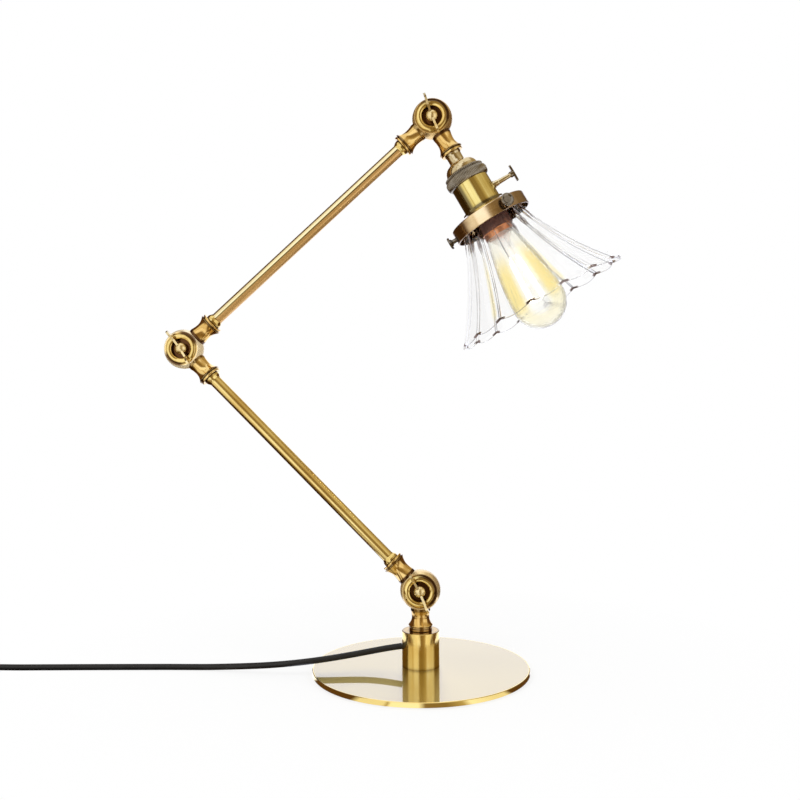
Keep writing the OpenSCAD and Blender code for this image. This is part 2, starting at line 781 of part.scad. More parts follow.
// Holder of the shade: a flat top, a sloping shoulder and a band
module shade_holder() {
    soft = 0.8;
    color(brass) on_head() difference() {
        turned(concat(
            [[0, holder_top], [plate_r, holder_top], [plate_r + 1.4, holder_top + 0.5],
             [shoulder_r - 0.6, band_top - 0.2]],
            arc([holder_r - soft, band_top + soft + 0.3], soft, -60, 0, 4),
            [[holder_r, band_bottom - 0.3], [holder_r - 0.3, band_bottom],
             [holder_r - holder_t, band_bottom], [holder_r - holder_t, band_top + 1.6],
             [shoulder_r - 1, band_top + 0.8], [plate_r + 1.2, holder_top + 0.5 + holder_t],
             [plate_r, holder_top + holder_t], [0, holder_top + holder_t]]
        ));
        translate([0, 0, holder_top - 1]) cylinder(r = liner_r + slip, h = holder_t + 2);
        for (turn = [0, 120, 240]) at_thumb(turn) cylinder(r = thumb_r + run, h = holder_r + 1);
    }
}

// Ring nut on the sleeve that clamps the holder against the flange
module holder_nut() {
    nut_from = holder_top + holder_t;
    color(bronze) on_head() pipe(liner_r + 3.2, liner_r + slip, nut_from, nut_from + 3);
}

// Thumb screw with a dished round head
module thumb_screw(turn) {
    head_from = holder_r + thumb_stem;
    head_to = head_from + 2;
    tip = shade_neck_r + rest;
    dish = 0.6;
    color(bronze) on_head() at_thumb(turn) turned([
        [0, tip], [thumb_r - 0.4, tip], [thumb_r, tip + 0.5], [thumb_r, head_from - 1.4],
        [thumb_r + 1.2, head_from - 0.6], [thumb_r + 1.2, head_from], [thumb_head_r - 0.4, head_from],
        [thumb_head_r, head_from + 0.4], [thumb_head_r, head_to - 0.4], [thumb_head_r - 0.4, head_to],
        [thumb_head_r - 1.2, head_to], [thumb_head_r - 2.2, head_to - dish], [0, head_to - dish]
    ]);
}

module thumb_screw_front() thumb_screw(0);
module thumb_screw_left() thumb_screw(240);
module thumb_screw_back() thumb_screw(120);

// Radius of the shade's wall, from 0 under its neck to 1 at its rim: a cone that opens more and more
function wall_r(t) = shade_foot_r + (rim_d / 2 - shade_foot_r) * ((1 - flare) * t + flare * t * t);

// A point of the shade at a height and radius, with its share of the flutes
function shade_point(turn, r, s, share) =
    let (wave = abs(cos(turn * flutes / 2)) - 0.6, wavy_r = r + share * flute_depth * wave)
    [wavy_r * cos(turn), wavy_r * sin(turn), s + pow(share, 6) * scallop * wave];

// Rings of the glass from the lip down the outside and back up the inside: [radius, height, share]
function shade_rings(steps) = concat(
    [[shade_lip_r - glass_t / 2, shade_top, 0], [shade_lip_r, shade_top + 0.6, 0],
     [shade_lip_r, shade_top + 2.2, 0], [shade_neck_r, shade_top + 3.4, 0],
     [shade_neck_r, shade_foot_s - 3.4, 0]],
    [for (i = [0:steps]) let (t = i / steps)
        [wall_r(t), shade_foot_s + (rim_s - shade_foot_s) * t, 0.12 + 0.88 * t]],
    [[rim_d / 2 - glass_t * 0.45, rim_s + 0.8, 1]],
    [for (i = [steps:-1:0]) let (t = i / steps)
        [wall_r(t) - glass_t, shade_foot_s + (rim_s - shade_foot_s) * t + 0.5 * t, 0.12 + 0.88 * t]],
    [[shade_neck_r - glass_t, shade_foot_s - 3.4, 0], [shade_neck_r - glass_t, shade_top + 0.6, 0]]
);

// Fluted and scalloped glass shade
module glass_shade() {
    around = flutes * 6;
    rings = shade_rings(9);
    count = len(rings);
    color(clear_glass) on_head() polyhedron(
        points = [for (ring = rings, k = [0:around - 1])
            shade_point(k * 360 / around + 180 / flutes, ring[0], ring[1], ring[2])],
        faces = [for (i = [0:count - 1], k = [0:around - 1], half = [0, 1])
            let (a = i * around, b = (i + 1) % count * around, next = (k + 1) % around)
            half == 0 ? [a + k, b + next, b + k] : [a + k, a + next, b + next]]
    );
}

// Screw cap of the bulb, with its insulated end
module bulb_cap() {
    skirt_r = cap_r - 0.6;
    color(copper) on_head() turned([
        [0, bulb_top], [4, bulb_top], [4.6, bulb_top + 0.8], [cap_r - 1.6, bulb_top + 2.6],
        [cap_r, bulb_top + 4], [cap_r, cap_bottom - 5], [skirt_r, cap_bottom - 4.2],
        [skirt_r, cap_bottom], [0, cap_bottom]
    ]);
}

// Radius of the bulb's side, from 0 at its cap to 1 where the round end begins
function bulb_side(t) = bulb_neck_r + (bulb_r - bulb_neck_r) * sin(90 * t);

module bulb_glass() {
    steps = 12;
    length = bulb_round_s - cap_bottom;
    color(amber_glass) on_head() turned(concat(
        [for (i = [0:steps - 1]) [bulb_side(i / steps), cap_bottom + length * i / steps]],
        arc([0, bulb_round_s], bulb_r, 0, 90, steps),
        arc([0, bulb_round_s], bulb_r - bulb_wall, 90, 0, steps),
        [for (i = [steps - 1:-1:0]) [bulb_side(i / steps) - bulb_wall, cap_bottom + length * i / steps]]
    ));
}

// Glass stem inside the bulb, and the rod that carries the filaments
module bulb_stem() {
    foot_r = bulb_neck_r - bulb_wall - rest;
    color(clear_glass) on_head() turned([
        [0, cap_bottom], [foot_r, cap_bottom], [foot_r * 0.6, cap_bottom + 6], [3.4, cap_bottom + 13],
        [stem_r, stem_s - 2], [rod_r, stem_s], [rod_r, rod_end], [0, rod_end]
    ]);
}

// A straight round rod between two points
module rod(from, to, r) {
    line = to - from;
    length = norm(line);
    translate(from) rotate([0, acos(line[2] / length), atan2(line[1], line[0])])
        cylinder(r = r, h = length, $fn = 16);
}

// Filament sticks round the stem, with the wires that carry them
module bulb_filaments() {
    stick_r = 1;
    wire = 0.35;
    near = [5, 0, stem_s + 1];
    far = [7, 0, near[2] + filament_len];
    color(white) on_head() for (i = [0:filaments - 1]) rotate([0, 0, 45 + i * 360 / filaments]) {
        rod(near, far, stick_r);
        rod([stem_r + wire + slip, 0, near[2] - 4], near, wire);
        rod([rod_r + wire + slip, 0, far[2] + 2], far, wire);
    }
}

// The way along a line of points at one of them
function heading(points, i) =
    let (last = len(points) - 1, line = points[min(i + 1, last)] - points[max(i - 1, 0)]) line / norm(line);

// A ring of points round a centre, square to the way
function tube_ring(centre, way, r, sides) =
    let (level = cross([0, 0, 1], way), across = level / norm(level), up = cross(way, across))
    [for (k = [0:sides - 1]) let (a = 360 * (k + 0.5) / sides) centre + r * (cos(a) * across + sin(a) * up)];

// A round cord swept along points
module swept_tube(points, r, sides) {
    last = len(points) - 1;
    polyhedron(
        points = [for (i = [0:last]) each tube_ring(points[i], heading(points, i), r, sides)],
        faces = concat(
            [[for (k = [0:sides - 1]) k]],
            [[for (k = [sides - 1:-1:0]) last * sides + k]],
            [for (i = [0:last - 1], k = [0:sides - 1], half = [0, 1])
                let (a = i * sides, b = a + sides, next = (k + 1) % sides)
                half == 0 ? [a + k, b + k, b + next] : [a + k, b + next, a + next]]
        )
    );
}

module cord_run() color(black) swept_tube(cord_points, cord_r, 10);

// The coil spirals in and out again, and climbs one layer in the half turn where it reverses
function coil_point(i) =
    let (
        turn = i * 360 / rings_per_turn,
        r = coil_in_r + coil_pitch * abs(turn - coil_mid) / 360,
        climb = min(1, max(0, (turn - coil_mid + 90) / 180))
    )
    coil_centre + [r * cos(90 + turn), r * sin(90 + turn), coil_pitch * climb];

// From its last turn the cord goes straight on to the plug
function lead_point(along, aside) =
    coil_point(coil_rings) + [along, -aside, (plug_z - coil_z - coil_pitch) * min(1, along / lead_len)];
coil_path = concat(
    [coil_start],
    [for (i = [0:coil_rings]) coil_point(i)],
    [lead_point(5, 0.3), lead_point(10, 1.4), lead_point(15, 3), lead_point(lead_len, 5)]
);
lead_end = lead_point(lead_len + cord_d, 7.2);

module cord_coil() color(black) swept_tube(concat(coil_path, [lead_end]), cord_r, 6);

// Length of a line of points
function line_length(line) =
    let (steps = [for (i = [1:len(line) - 1]) norm(line[i] - line[i - 1])]) steps * [for (step = steps) 1];
visible_cord = [for (i = [1:len(cord_points) - 1]) cord_points[i]];
echo(cord_length = line_length(concat(visible_cord, coil_path, [lead_end])));

// Least gap between stretches of the coil that lie at least half a turn apart
half_turn = rings_per_turn / 2;
coil_gap = min([
    for (i = [0:coil_rings - half_turn], j = [i + half_turn:coil_rings]) norm(coil_point(i) - coil_point(j))
]) - cord_d;
echo(coil_gap = coil_gap);

// Flat band tied round the whole bundle of turns
module cord_tie() {
    inner_w = coil_out_r - coil_in_r + cord_d + 0.8;
    inner_h = coil_pitch + cord_d + 0.4;
    color(black) translate(coil_centre + [0, 0, coil_pitch / 2]) rotate([0, 0, 200])
        translate([(coil_out_r + coil_in_r) / 2, tie_w / 2, 0]) rotate([90, 0, 0])
            linear_extrude(tie_w) difference() {
                polygon(rounded_box(inner_w + 2 * tie_t, inner_h + 2 * tie_t, cord_r + tie_t));
                polygon(rounded_box(inner_w, inner_h, cord_r));
            }
}

// Places a shape at the end of the cord, pointing on along X
module at_plug() {
    line = lead_end - coil_path[len(coil_path) - 1];
    translate([lead_end[0], lead_end[1], plug_z]) rotate([0, 0, atan2(line[1], line[0])]) children();
}

// Body of the two-blade plug: a boot on the cord and a grip with drawn-in sides
module plug_body() {
    half_w = plug_w / 2;
    boot_r = cord_r + 1;
    soft = 3;
    waist = 5.5;
    color(black) at_plug() {
        rotate([0, 90, 0]) turned([[0, 0], [boot_r, 0], [boot_r + 2, boot_len + 1], [0, boot_len + 1]]);
        translate([boot_len, 0, -plug_t / 2]) linear_extrude(plug_t) polygon(concat(
            arc([soft, soft - half_w * 0.62], soft, 180, 270, 4),
            arc([plug_len * 0.45, -half_w - waist + 0.5], waist, 110, 70, 4),
            arc([plug_len - soft, soft - half_w], soft, 270, 360, 4),
            arc([plug_len - soft, half_w - soft], soft, 0, 90, 4),
            arc([plug_len * 0.45, half_w + waist - 0.5], waist, 290, 250, 4),
            arc([soft, half_w * 0.62 - soft], soft, 90, 180, 4)
        ));
    }
}

// Two flat blades that stand on the end of the plug
module plug_blades() {
    blade_w = 6.3;
    blade_t = 1.5;
    blade_gap = 12.7;
    color(steel) at_plug() for (side = [-1, 1])
        translate([boot_len + plug_len, side * blade_gap / 2 - blade_t / 2, -blade_w / 2])
            cube([blade_len, blade_t, blade_w]);
}

base_pad();
base_disc();
base_screw();
column();
column_cap();
column_nut();
cord_bushing();
base_swivel_front();
base_ring();
base_wires();
cord_run();
cord_coil();
cord_tie();
plug_body();
plug_blades();
base_wing();
base_swivel_rear();
base_nut();
base_washer();
lower_tube();
lower_ferrules();
lower_wires();
elbow_swivel_front();
elbow_ring();
elbow_wing();
elbow_swivel_rear();
elbow_nut();
elbow_washer();
upper_tube();
upper_ferrules();
upper_wires();
head_swivel_front();
head_ring();
head_wing();
head_swivel_rear();
head_nut();
head_washer();
head_coupling();
head_nipple();
head_wires();
socket_cap();
socket_collar();
socket_shell();
switch_block();
key_bushing();
switch_key();
socket_liner();
screw_shell();
center_contact();
shade_holder();
holder_nut();
thumb_screw_front();
thumb_screw_left();
thumb_screw_back();
glass_shade();
bulb_cap();
bulb_glass();
bulb_stem();
bulb_filaments();
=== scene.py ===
import json
import math
from functools import reduce

import bpy
from mathutils import Matrix, Vector


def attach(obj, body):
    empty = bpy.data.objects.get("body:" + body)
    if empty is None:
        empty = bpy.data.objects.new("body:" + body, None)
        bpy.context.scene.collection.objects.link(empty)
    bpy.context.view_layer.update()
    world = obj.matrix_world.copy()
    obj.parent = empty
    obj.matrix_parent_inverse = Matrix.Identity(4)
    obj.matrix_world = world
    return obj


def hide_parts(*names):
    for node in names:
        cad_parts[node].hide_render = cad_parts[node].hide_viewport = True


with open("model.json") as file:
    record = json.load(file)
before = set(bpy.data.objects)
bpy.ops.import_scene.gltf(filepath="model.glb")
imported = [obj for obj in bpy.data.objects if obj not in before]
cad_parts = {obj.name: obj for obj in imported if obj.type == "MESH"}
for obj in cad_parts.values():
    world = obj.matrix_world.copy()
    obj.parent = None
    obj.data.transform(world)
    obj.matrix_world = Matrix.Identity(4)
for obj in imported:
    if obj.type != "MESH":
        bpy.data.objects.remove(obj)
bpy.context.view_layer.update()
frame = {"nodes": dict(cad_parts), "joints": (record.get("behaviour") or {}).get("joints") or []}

# Lengths are in metres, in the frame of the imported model. Values that repeat the model's sizes are
# written in millimetres and multiplied by MM, or compared with places that are in millimetres too.
MM = 0.001
NODES = frame["nodes"]
JOINTS = {joint["name"]: joint for joint in frame["joints"]}
SCENE = bpy.context.scene


# Camera

CAMERA_AT = Vector((45.97, -703.08, 217.2)) * MM
CAMERA_YAW = math.radians(-5.02)
CAMERA_PITCH = math.radians(-0.52)
CAMERA_ROLL = math.radians(-0.39)
FRAME_PX = 800
FOCAL_PX = 852.8
SENSOR_MM = 36


def add_camera():
    """The photograph's camera: it looks along +Y, a little to the left and upwards."""
    data = bpy.data.cameras.new("camera")
    data.sensor_width = SENSOR_MM
    data.lens = FOCAL_PX / FRAME_PX * SENSOR_MM
    data.clip_start = 0.01
    camera = bpy.data.objects.new("camera", data)
    SCENE.collection.objects.link(camera)
    turn = Matrix.Rotation(-CAMERA_YAW, 4, "Z")
    tilt = Matrix.Rotation(math.pi / 2 - CAMERA_PITCH, 4, "X")
    roll = Matrix.Rotation(CAMERA_ROLL, 4, "Z")
    camera.matrix_world = Matrix.Translation(CAMERA_AT) @ turn @ tilt @ roll
    SCENE.camera = camera


# Helpers for meshes and curves

def add_object(name, data, body, *replaced, place=Matrix.Identity(4)):
    """A new piece that rides on a body of the model and may stand for some of its nodes."""
    piece = bpy.data.objects.new(name, data)
    SCENE.collection.objects.link(piece)
    piece.matrix_world = place
    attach(piece, body)
    if replaced:
        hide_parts(*replaced)
    return piece


def ring_mesh(name, rings, closed=False, sharp_rings=(), sharp_lines=()):
    """A mesh through rings of equally many points; an open one is closed at its two ends.

    Edges along the named rings, and along the named lines from ring to ring, are sharp."""
    around = len(rings[0])
    count = len(rings)
    points = [point for ring in rings for point in ring]
    faces = []
    for i in range(count if closed else count - 1):
        low, high = i * around, (i + 1) % count * around
        for k in range(around):
            after = (k + 1) % around
            faces.append((low + k, low + after, high + after, high + k))
    if not closed:
        faces.append(tuple(reversed(range(around))))
        faces.append(tuple(range((count - 1) * around, count * around)))
    mesh = bpy.data.meshes.new(name)
    mesh.from_pydata(points, [], faces)
    mesh.polygons.foreach_set("use_smooth", [True] * len(mesh.polygons))
    sharp_rings, sharp_lines = set(sharp_rings), set(sharp_lines)
    for edge in mesh.edges:
        a, b = edge.vertices
        same_ring = a // around == b // around
        if same_ring and a // around in sharp_rings or not same_ring and a % around in sharp_lines:
            edge.use_edge_sharp = True
    return mesh


def arc(centre, radius, start, end, steps):
    """Points (r, z) on an arc, with its angles in degrees from +r to +z."""
    turns = [math.radians(start + (end - start) * i / steps) for i in range(steps + 1)]
    return [(centre[0] + radius * math.cos(a), centre[1] + radius * math.sin(a)) for a in turns]


# Cord: from the column over the plate's edge and out of view to its coil, and on to the plug

CORD_D = 5
EXIT_Z = 20.6
TABLE_Z = 2.5
COIL_Z = 3.5
CORD_POINTS = [
    (-15.5, 0, EXIT_Z), (-26, -0.4, 19), (-40, -2.9, 16.9), (-54, -7.6, 15.3), (-68, -13.2, 14.1),
    (-80, -17.5, 13.2), (-92, -20.1, 12.1), (-104, -20.9, 10.8), (-116, -20.3, 9.4),
    (-128, -18.5, 7.9), (-140, -15.9, 6.4), (-152, -13.2, 5), (-164, -10.9, 3.8),
    (-176, -9.3, 2.9), (-190, -8.9, TABLE_Z), (-208, -9.8, TABLE_Z), (-226, -11.1, TABLE_Z),
    (-244, -12.4, TABLE_Z), (-262, -13.8, TABLE_Z), (-280, -15.2, TABLE_Z),
    (-298, -16.7, TABLE_Z), (-316, -18.1, TABLE_Z), (-334, -19.5, TABLE_Z), (-352, -20.8, 2.7),
    (-368, -21.9, 3), (-384, -22.8, 3.3), (-398, -23.4, COIL_Z),
]
COIL_IN_R = 19.6
COIL_PITCH = 5.45
COIL_TURNS = 7.5
COIL_OUT_R = COIL_IN_R + COIL_PITCH * COIL_TURNS / 2
COIL_CENTRE = Vector((CORD_POINTS[-1][0] - CORD_D, CORD_POINTS[-1][1] - COIL_OUT_R, COIL_Z))
RINGS_PER_TURN = 24
LEAD = 20  # length over which the cord rises from the coil to the plug
PLUG_Z = 8


def coil_points():
    """The coil spirals in and out again, and climbs one layer where it reverses."""
    points = []
    middle = COIL_TURNS * 180
    for i in range(int(COIL_TURNS * RINGS_PER_TURN) + 1):
        turn = i * 360 / RINGS_PER_TURN
        r = COIL_IN_R + COIL_PITCH * abs(turn - middle) / 360
        climb = min(1, max(0, (turn - middle + 90) / 180))
        a = math.radians(90 + turn)
        points.append(COIL_CENTRE + Vector((r * math.cos(a), r * math.sin(a), COIL_PITCH * climb)))
    return points


def lead_points(last):
    """From its last turn the cord goes straight on to the plug."""
    drop = PLUG_Z - last.z
    steps = [(5, 0.3), (10, 1.4), (15, 3), (LEAD, 5), (LEAD + 5, 7.2)]
    return [last + Vector((along, -aside, drop * min(1, along / LEAD))) for along, aside in steps]


COIL = coil_points()
ROUTE = [Vector(p) for p in CORD_POINTS] + COIL + lead_points(COIL[-1])


def add_cord():
    curve = bpy.data.curves.new("mains_cord", "CURVE")
    curve.dimensions = "3D"
    curve.bevel_depth = 1
    curve.bevel_resolution = 5
    curve.use_fill_caps = True
    curve.resolution_u = 3
    spline = curve.splines.new("BEZIER")
    spline.bezier_points.add(len(ROUTE) - 1)
    for point, place in zip(spline.bezier_points, ROUTE):
        point.co = place * MM
        point.radius = CORD_D / 2 * MM
        point.handle_left_type = point.handle_right_type = "AUTO"
    return add_object("mains_cord", curve, "base", "cord_run", "cord_coil")


PLUG_LEN = 28
PLUG_HALF_W = 12.5
PLUG_HALF_T = 8
BOOT_LEN = 22
BOOT_GROOVES = 5
GRIP_RIBS = 13
ROUNDED_END = 0.09  # share of the plug's length over which each of its ends is rounded
SECTION_POINTS = 48


def rounded_section(half_w, half_t, x, power=4):
    """A rounded rectangle across the plug, as a ring of points."""
    ring = []
    for k in range(SECTION_POINTS):
        a = 2 * math.pi * k / SECTION_POINTS
        c, s = math.cos(a), math.sin(a)
        y = half_w * math.copysign(abs(c) ** (2 / power), c)
        z = half_t * math.copysign(abs(s) ** (2 / power), s)
        ring.append(Vector((x, y, z)) * MM)
    return ring


def boot_rings():
    """The grooved boot that widens from the cord to the plug."""
    steps = 42
    rings = []
    for i in range(steps + 1):
        t = i / steps
        groove = max(0, math.sin(t * math.pi * 2 * BOOT_GROOVES)) ** 2 if t < 0.95 else 0
        r = CORD_D / 2 + 1 + 2 * t - 0.7 * groove
        rings.append(rounded_section(r, r, BOOT_LEN * t, power=2))
    return rings


def grip_rings():
    """The plug's body: its sides draw in to a ribbed grip and widen to the face with the blades."""
    steps = 56
    rings = []
    for i in range(steps + 1):
        t = i / steps
        end = math.sqrt(1 - (1 - min(t, 1 - t, ROUNDED_END) / ROUNDED_END) ** 2)
        waist = 0.62 + 0.38 * t - 0.16 * math.exp(-((t - 0.42) / 0.16) ** 2)
        ribs = 0.35 * max(0, math.sin(t * math.pi * 2 * GRIP_RIBS)) if 0.22 < t < 0.62 else 0
        half_w = (PLUG_HALF_W * waist - ribs) * (0.86 + 0.14 * end)
        half_t = PLUG_HALF_T * (0.72 + 0.28 * min(1, t * 2.2)) * (0.84 + 0.16 * end)
        rings.append(rounded_section(half_w, half_t, BOOT_LEN + PLUG_LEN * t))
    return rings


def add_plug():
    heading = ROUTE[-1] - COIL[-1]
    turn = Matrix.Rotation(math.atan2(heading.y, heading.x), 4, "Z")
    place = Matrix.Translation(ROUTE[-1] * MM) @ turn
    return add_object("plug", ring_mesh("plug", boot_rings() + grip_rings()), "base", "plug_body",
                      place=place)


# Places on the model

def pivot(joint):
    return Vector(JOINTS[joint]["pos_m"])


def arm_angle(start, end):
    line = pivot(end) - pivot(start)
    return math.atan2(line.z, line.x)


def head_frame():
    """The head's own frame: Z along its axis from the swivel to the bulb, and the key on -X."""
    across = -Vector(JOINTS["switch_turn"]["axis"])
    front = Vector((0, 1, 0))
    turn = Matrix((across, front, across.cross(front))).transposed().to_4x4()
    return Matrix.Translation(pivot("head_tilt")) @ turn


LOWER_ANGLE = arm_angle("base_knuckle", "elbow")
UPPER_ANGLE = arm_angle("elbow", "head_tilt")
HEAD = head_frame()
HEAD_ANGLE = math.atan2(HEAD.col[2].z, HEAD.col[2].x)


# Shade, which rides on the head: radii, and places along the head's axis from its swivel

FLUTES = 16
FLUTE_DEPTH = 2.6
WAVE_MEAN = 0.6
SCALLOP = 2.4
SCALLOP_POWER = 6  # how late on the way to the rim the scallops grow
FLARE = 0.32
FOOT_R = 28.5
RIM_R = 73.0
FOOT_S = 102.7
RIM_S = 177.4
FOOT_SHARE = 0.12  # share of the flutes' depth that they have at the wall's foot
GLASS_T = 2.4
# The neck with its lip, as (radius, place, share of the flutes)
NECK_OUTSIDE = [(27.6, 91.0, 0), (28.5, 91.2, 0), (28.8, 91.9, 0), (28.8, 92.9, 0), (28.3, 93.9, 0),
                (27.2, 94.6, 0), (27.2, 98.6, 0), (27.4, 100.4, 0.03)]
NECK_INSIDE = [(25, 100.2, 0.02), (24.8, 99.3, 0), (24.8, 92.2, 0), (25.6, 91.2, 0)]
POINTS_PER_FLUTE = 20
WALL_STEPS = 26


def wall_radius(t):
    return FOOT_R + (RIM_R - FOOT_R) * ((1 - FLARE) * t + FLARE * t * t)


def fluted_ring(r, s, share):
    """A ring of the shade: its flutes and its scallops grow with the share from neck to rim."""
    around = FLUTES * POINTS_PER_FLUTE
    ring = []
    for k in range(around):
        turn = math.radians(k * 360 / around + 180 / FLUTES)
        wave = abs(math.cos(FLUTES / 2 * turn)) - WAVE_MEAN
        radius = r + share * FLUTE_DEPTH * wave
        along = s + share ** SCALLOP_POWER * SCALLOP * wave
        ring.append(Vector((radius * math.cos(turn), radius * math.sin(turn), along)) * MM)
    return ring


def shade_mesh():
    """The neck and the wall outside, the rounded rim, and the wall and the neck inside."""
    outside, inside = [], []
    for i in range(WALL_STEPS + 1):
        t = i / WALL_STEPS
        r, s = wall_radius(t), FOOT_S + (RIM_S - FOOT_S) * t
        share = FOOT_SHARE + (1 - FOOT_SHARE) * t
        outside.append((r, s, share))
        inside.append((r - GLASS_T, s + 0.5 * t, share))
    rim = [(RIM_R - 0.5, RIM_S + 0.37, 1), (RIM_R - GLASS_T * 0.5, RIM_S + 0.8, 1),
           (RIM_R - GLASS_T + 0.3, RIM_S + 0.8, 1)]
    rings = NECK_OUTSIDE + outside + rim + inside[::-1] + NECK_INSIDE
    return ring_mesh("shade", [fluted_ring(*ring) for ring in rings], closed=True,
                     sharp_lines=range(0, FLUTES * POINTS_PER_FLUTE, POINTS_PER_FLUTE))


# Ribbed collar, in the same frame

COLLAR_TOP = 50.7
COLLAR_BOTTOM = 62.1
COLLAR_R = 18.4
BEAD_R = COLLAR_R - 1.3
BEADS = 64
RIBS = 90
RIB_DEPTH = 0.4
DOME_R = 14.2
SHELL_TOP = 55.1
SHELL_R = 16.1
SLIP = 0.1
COLLAR_POINTS = 960


def turned_ring(r, z, wave=None):
    """One ring of the collar, with its radius changed by a wave of the angle."""
    ring = []
    for k in range(COLLAR_POINTS):
        a = 2 * math.pi * k / COLLAR_POINTS
        radius = r + (wave(a) if wave else 0)
        ring.append(Vector((radius * math.cos(a), radius * math.sin(a), z)) * MM)
    return ring


def bead(a):
    return -0.55 * (1 - abs(math.sin(BEADS * a / 2)))


def rib(depth):
    return lambda a: -depth * (0.5 + 0.5 * math.cos(RIBS * a)) ** 2


def collar_mesh():
    """The collar with a beaded edge above and fine upright ribs round its belly."""
    belly_top = COLLAR_TOP + (COLLAR_BOTTOM - COLLAR_TOP) * 0.28
    belly = COLLAR_BOTTOM - belly_top
    steps = 8
    crest = arc((BEAD_R - 0.9, COLLAR_TOP + 1.6), 0.9, -60, 60, 7)
    rings = [turned_ring(DOME_R + SLIP, COLLAR_TOP), turned_ring(DOME_R + 0.6, COLLAR_TOP),
             turned_ring(DOME_R + 1.2, COLLAR_TOP + 0.4)]
    rings += [turned_ring(r, z, bead) for r, z in crest]
    rings.append(turned_ring(BEAD_R - 0.7, belly_top - 0.3))
    for i in range(steps + 1):
        t = i / steps
        r = COLLAR_R - (COLLAR_R - BEAD_R) * (1 - t) ** 2
        rings.append(turned_ring(r, belly_top + belly * 0.35 * t, rib(RIB_DEPTH * min(1, t * 4))))
    for i in range(1, steps + 1):
        t = i / steps
        r = COLLAR_R - (COLLAR_R - SHELL_R - 0.4) * t * t
        z = belly_top + belly * (0.35 + 0.2 * min(1, 2 * t) + 0.45 * t)
        rings.append(turned_ring(r, z, rib(RIB_DEPTH * (1 - t))))
    rings += [turned_ring(SHELL_R + SLIP, COLLAR_BOTTOM), turned_ring(SHELL_R + SLIP, SHELL_TOP),
              turned_ring(DOME_R + SLIP, SHELL_TOP)]
    return ring_mesh("collar", rings, closed=True, sharp_rings=(0, 1))


# Materials

def fill_ramp(ramp, stops):
    while len(ramp.elements) < len(stops):
        ramp.elements.new(0.5)
    for element, (value, colour) in zip(ramp.elements, stops):
        element.position = value
        element.color = (*colour, 1)


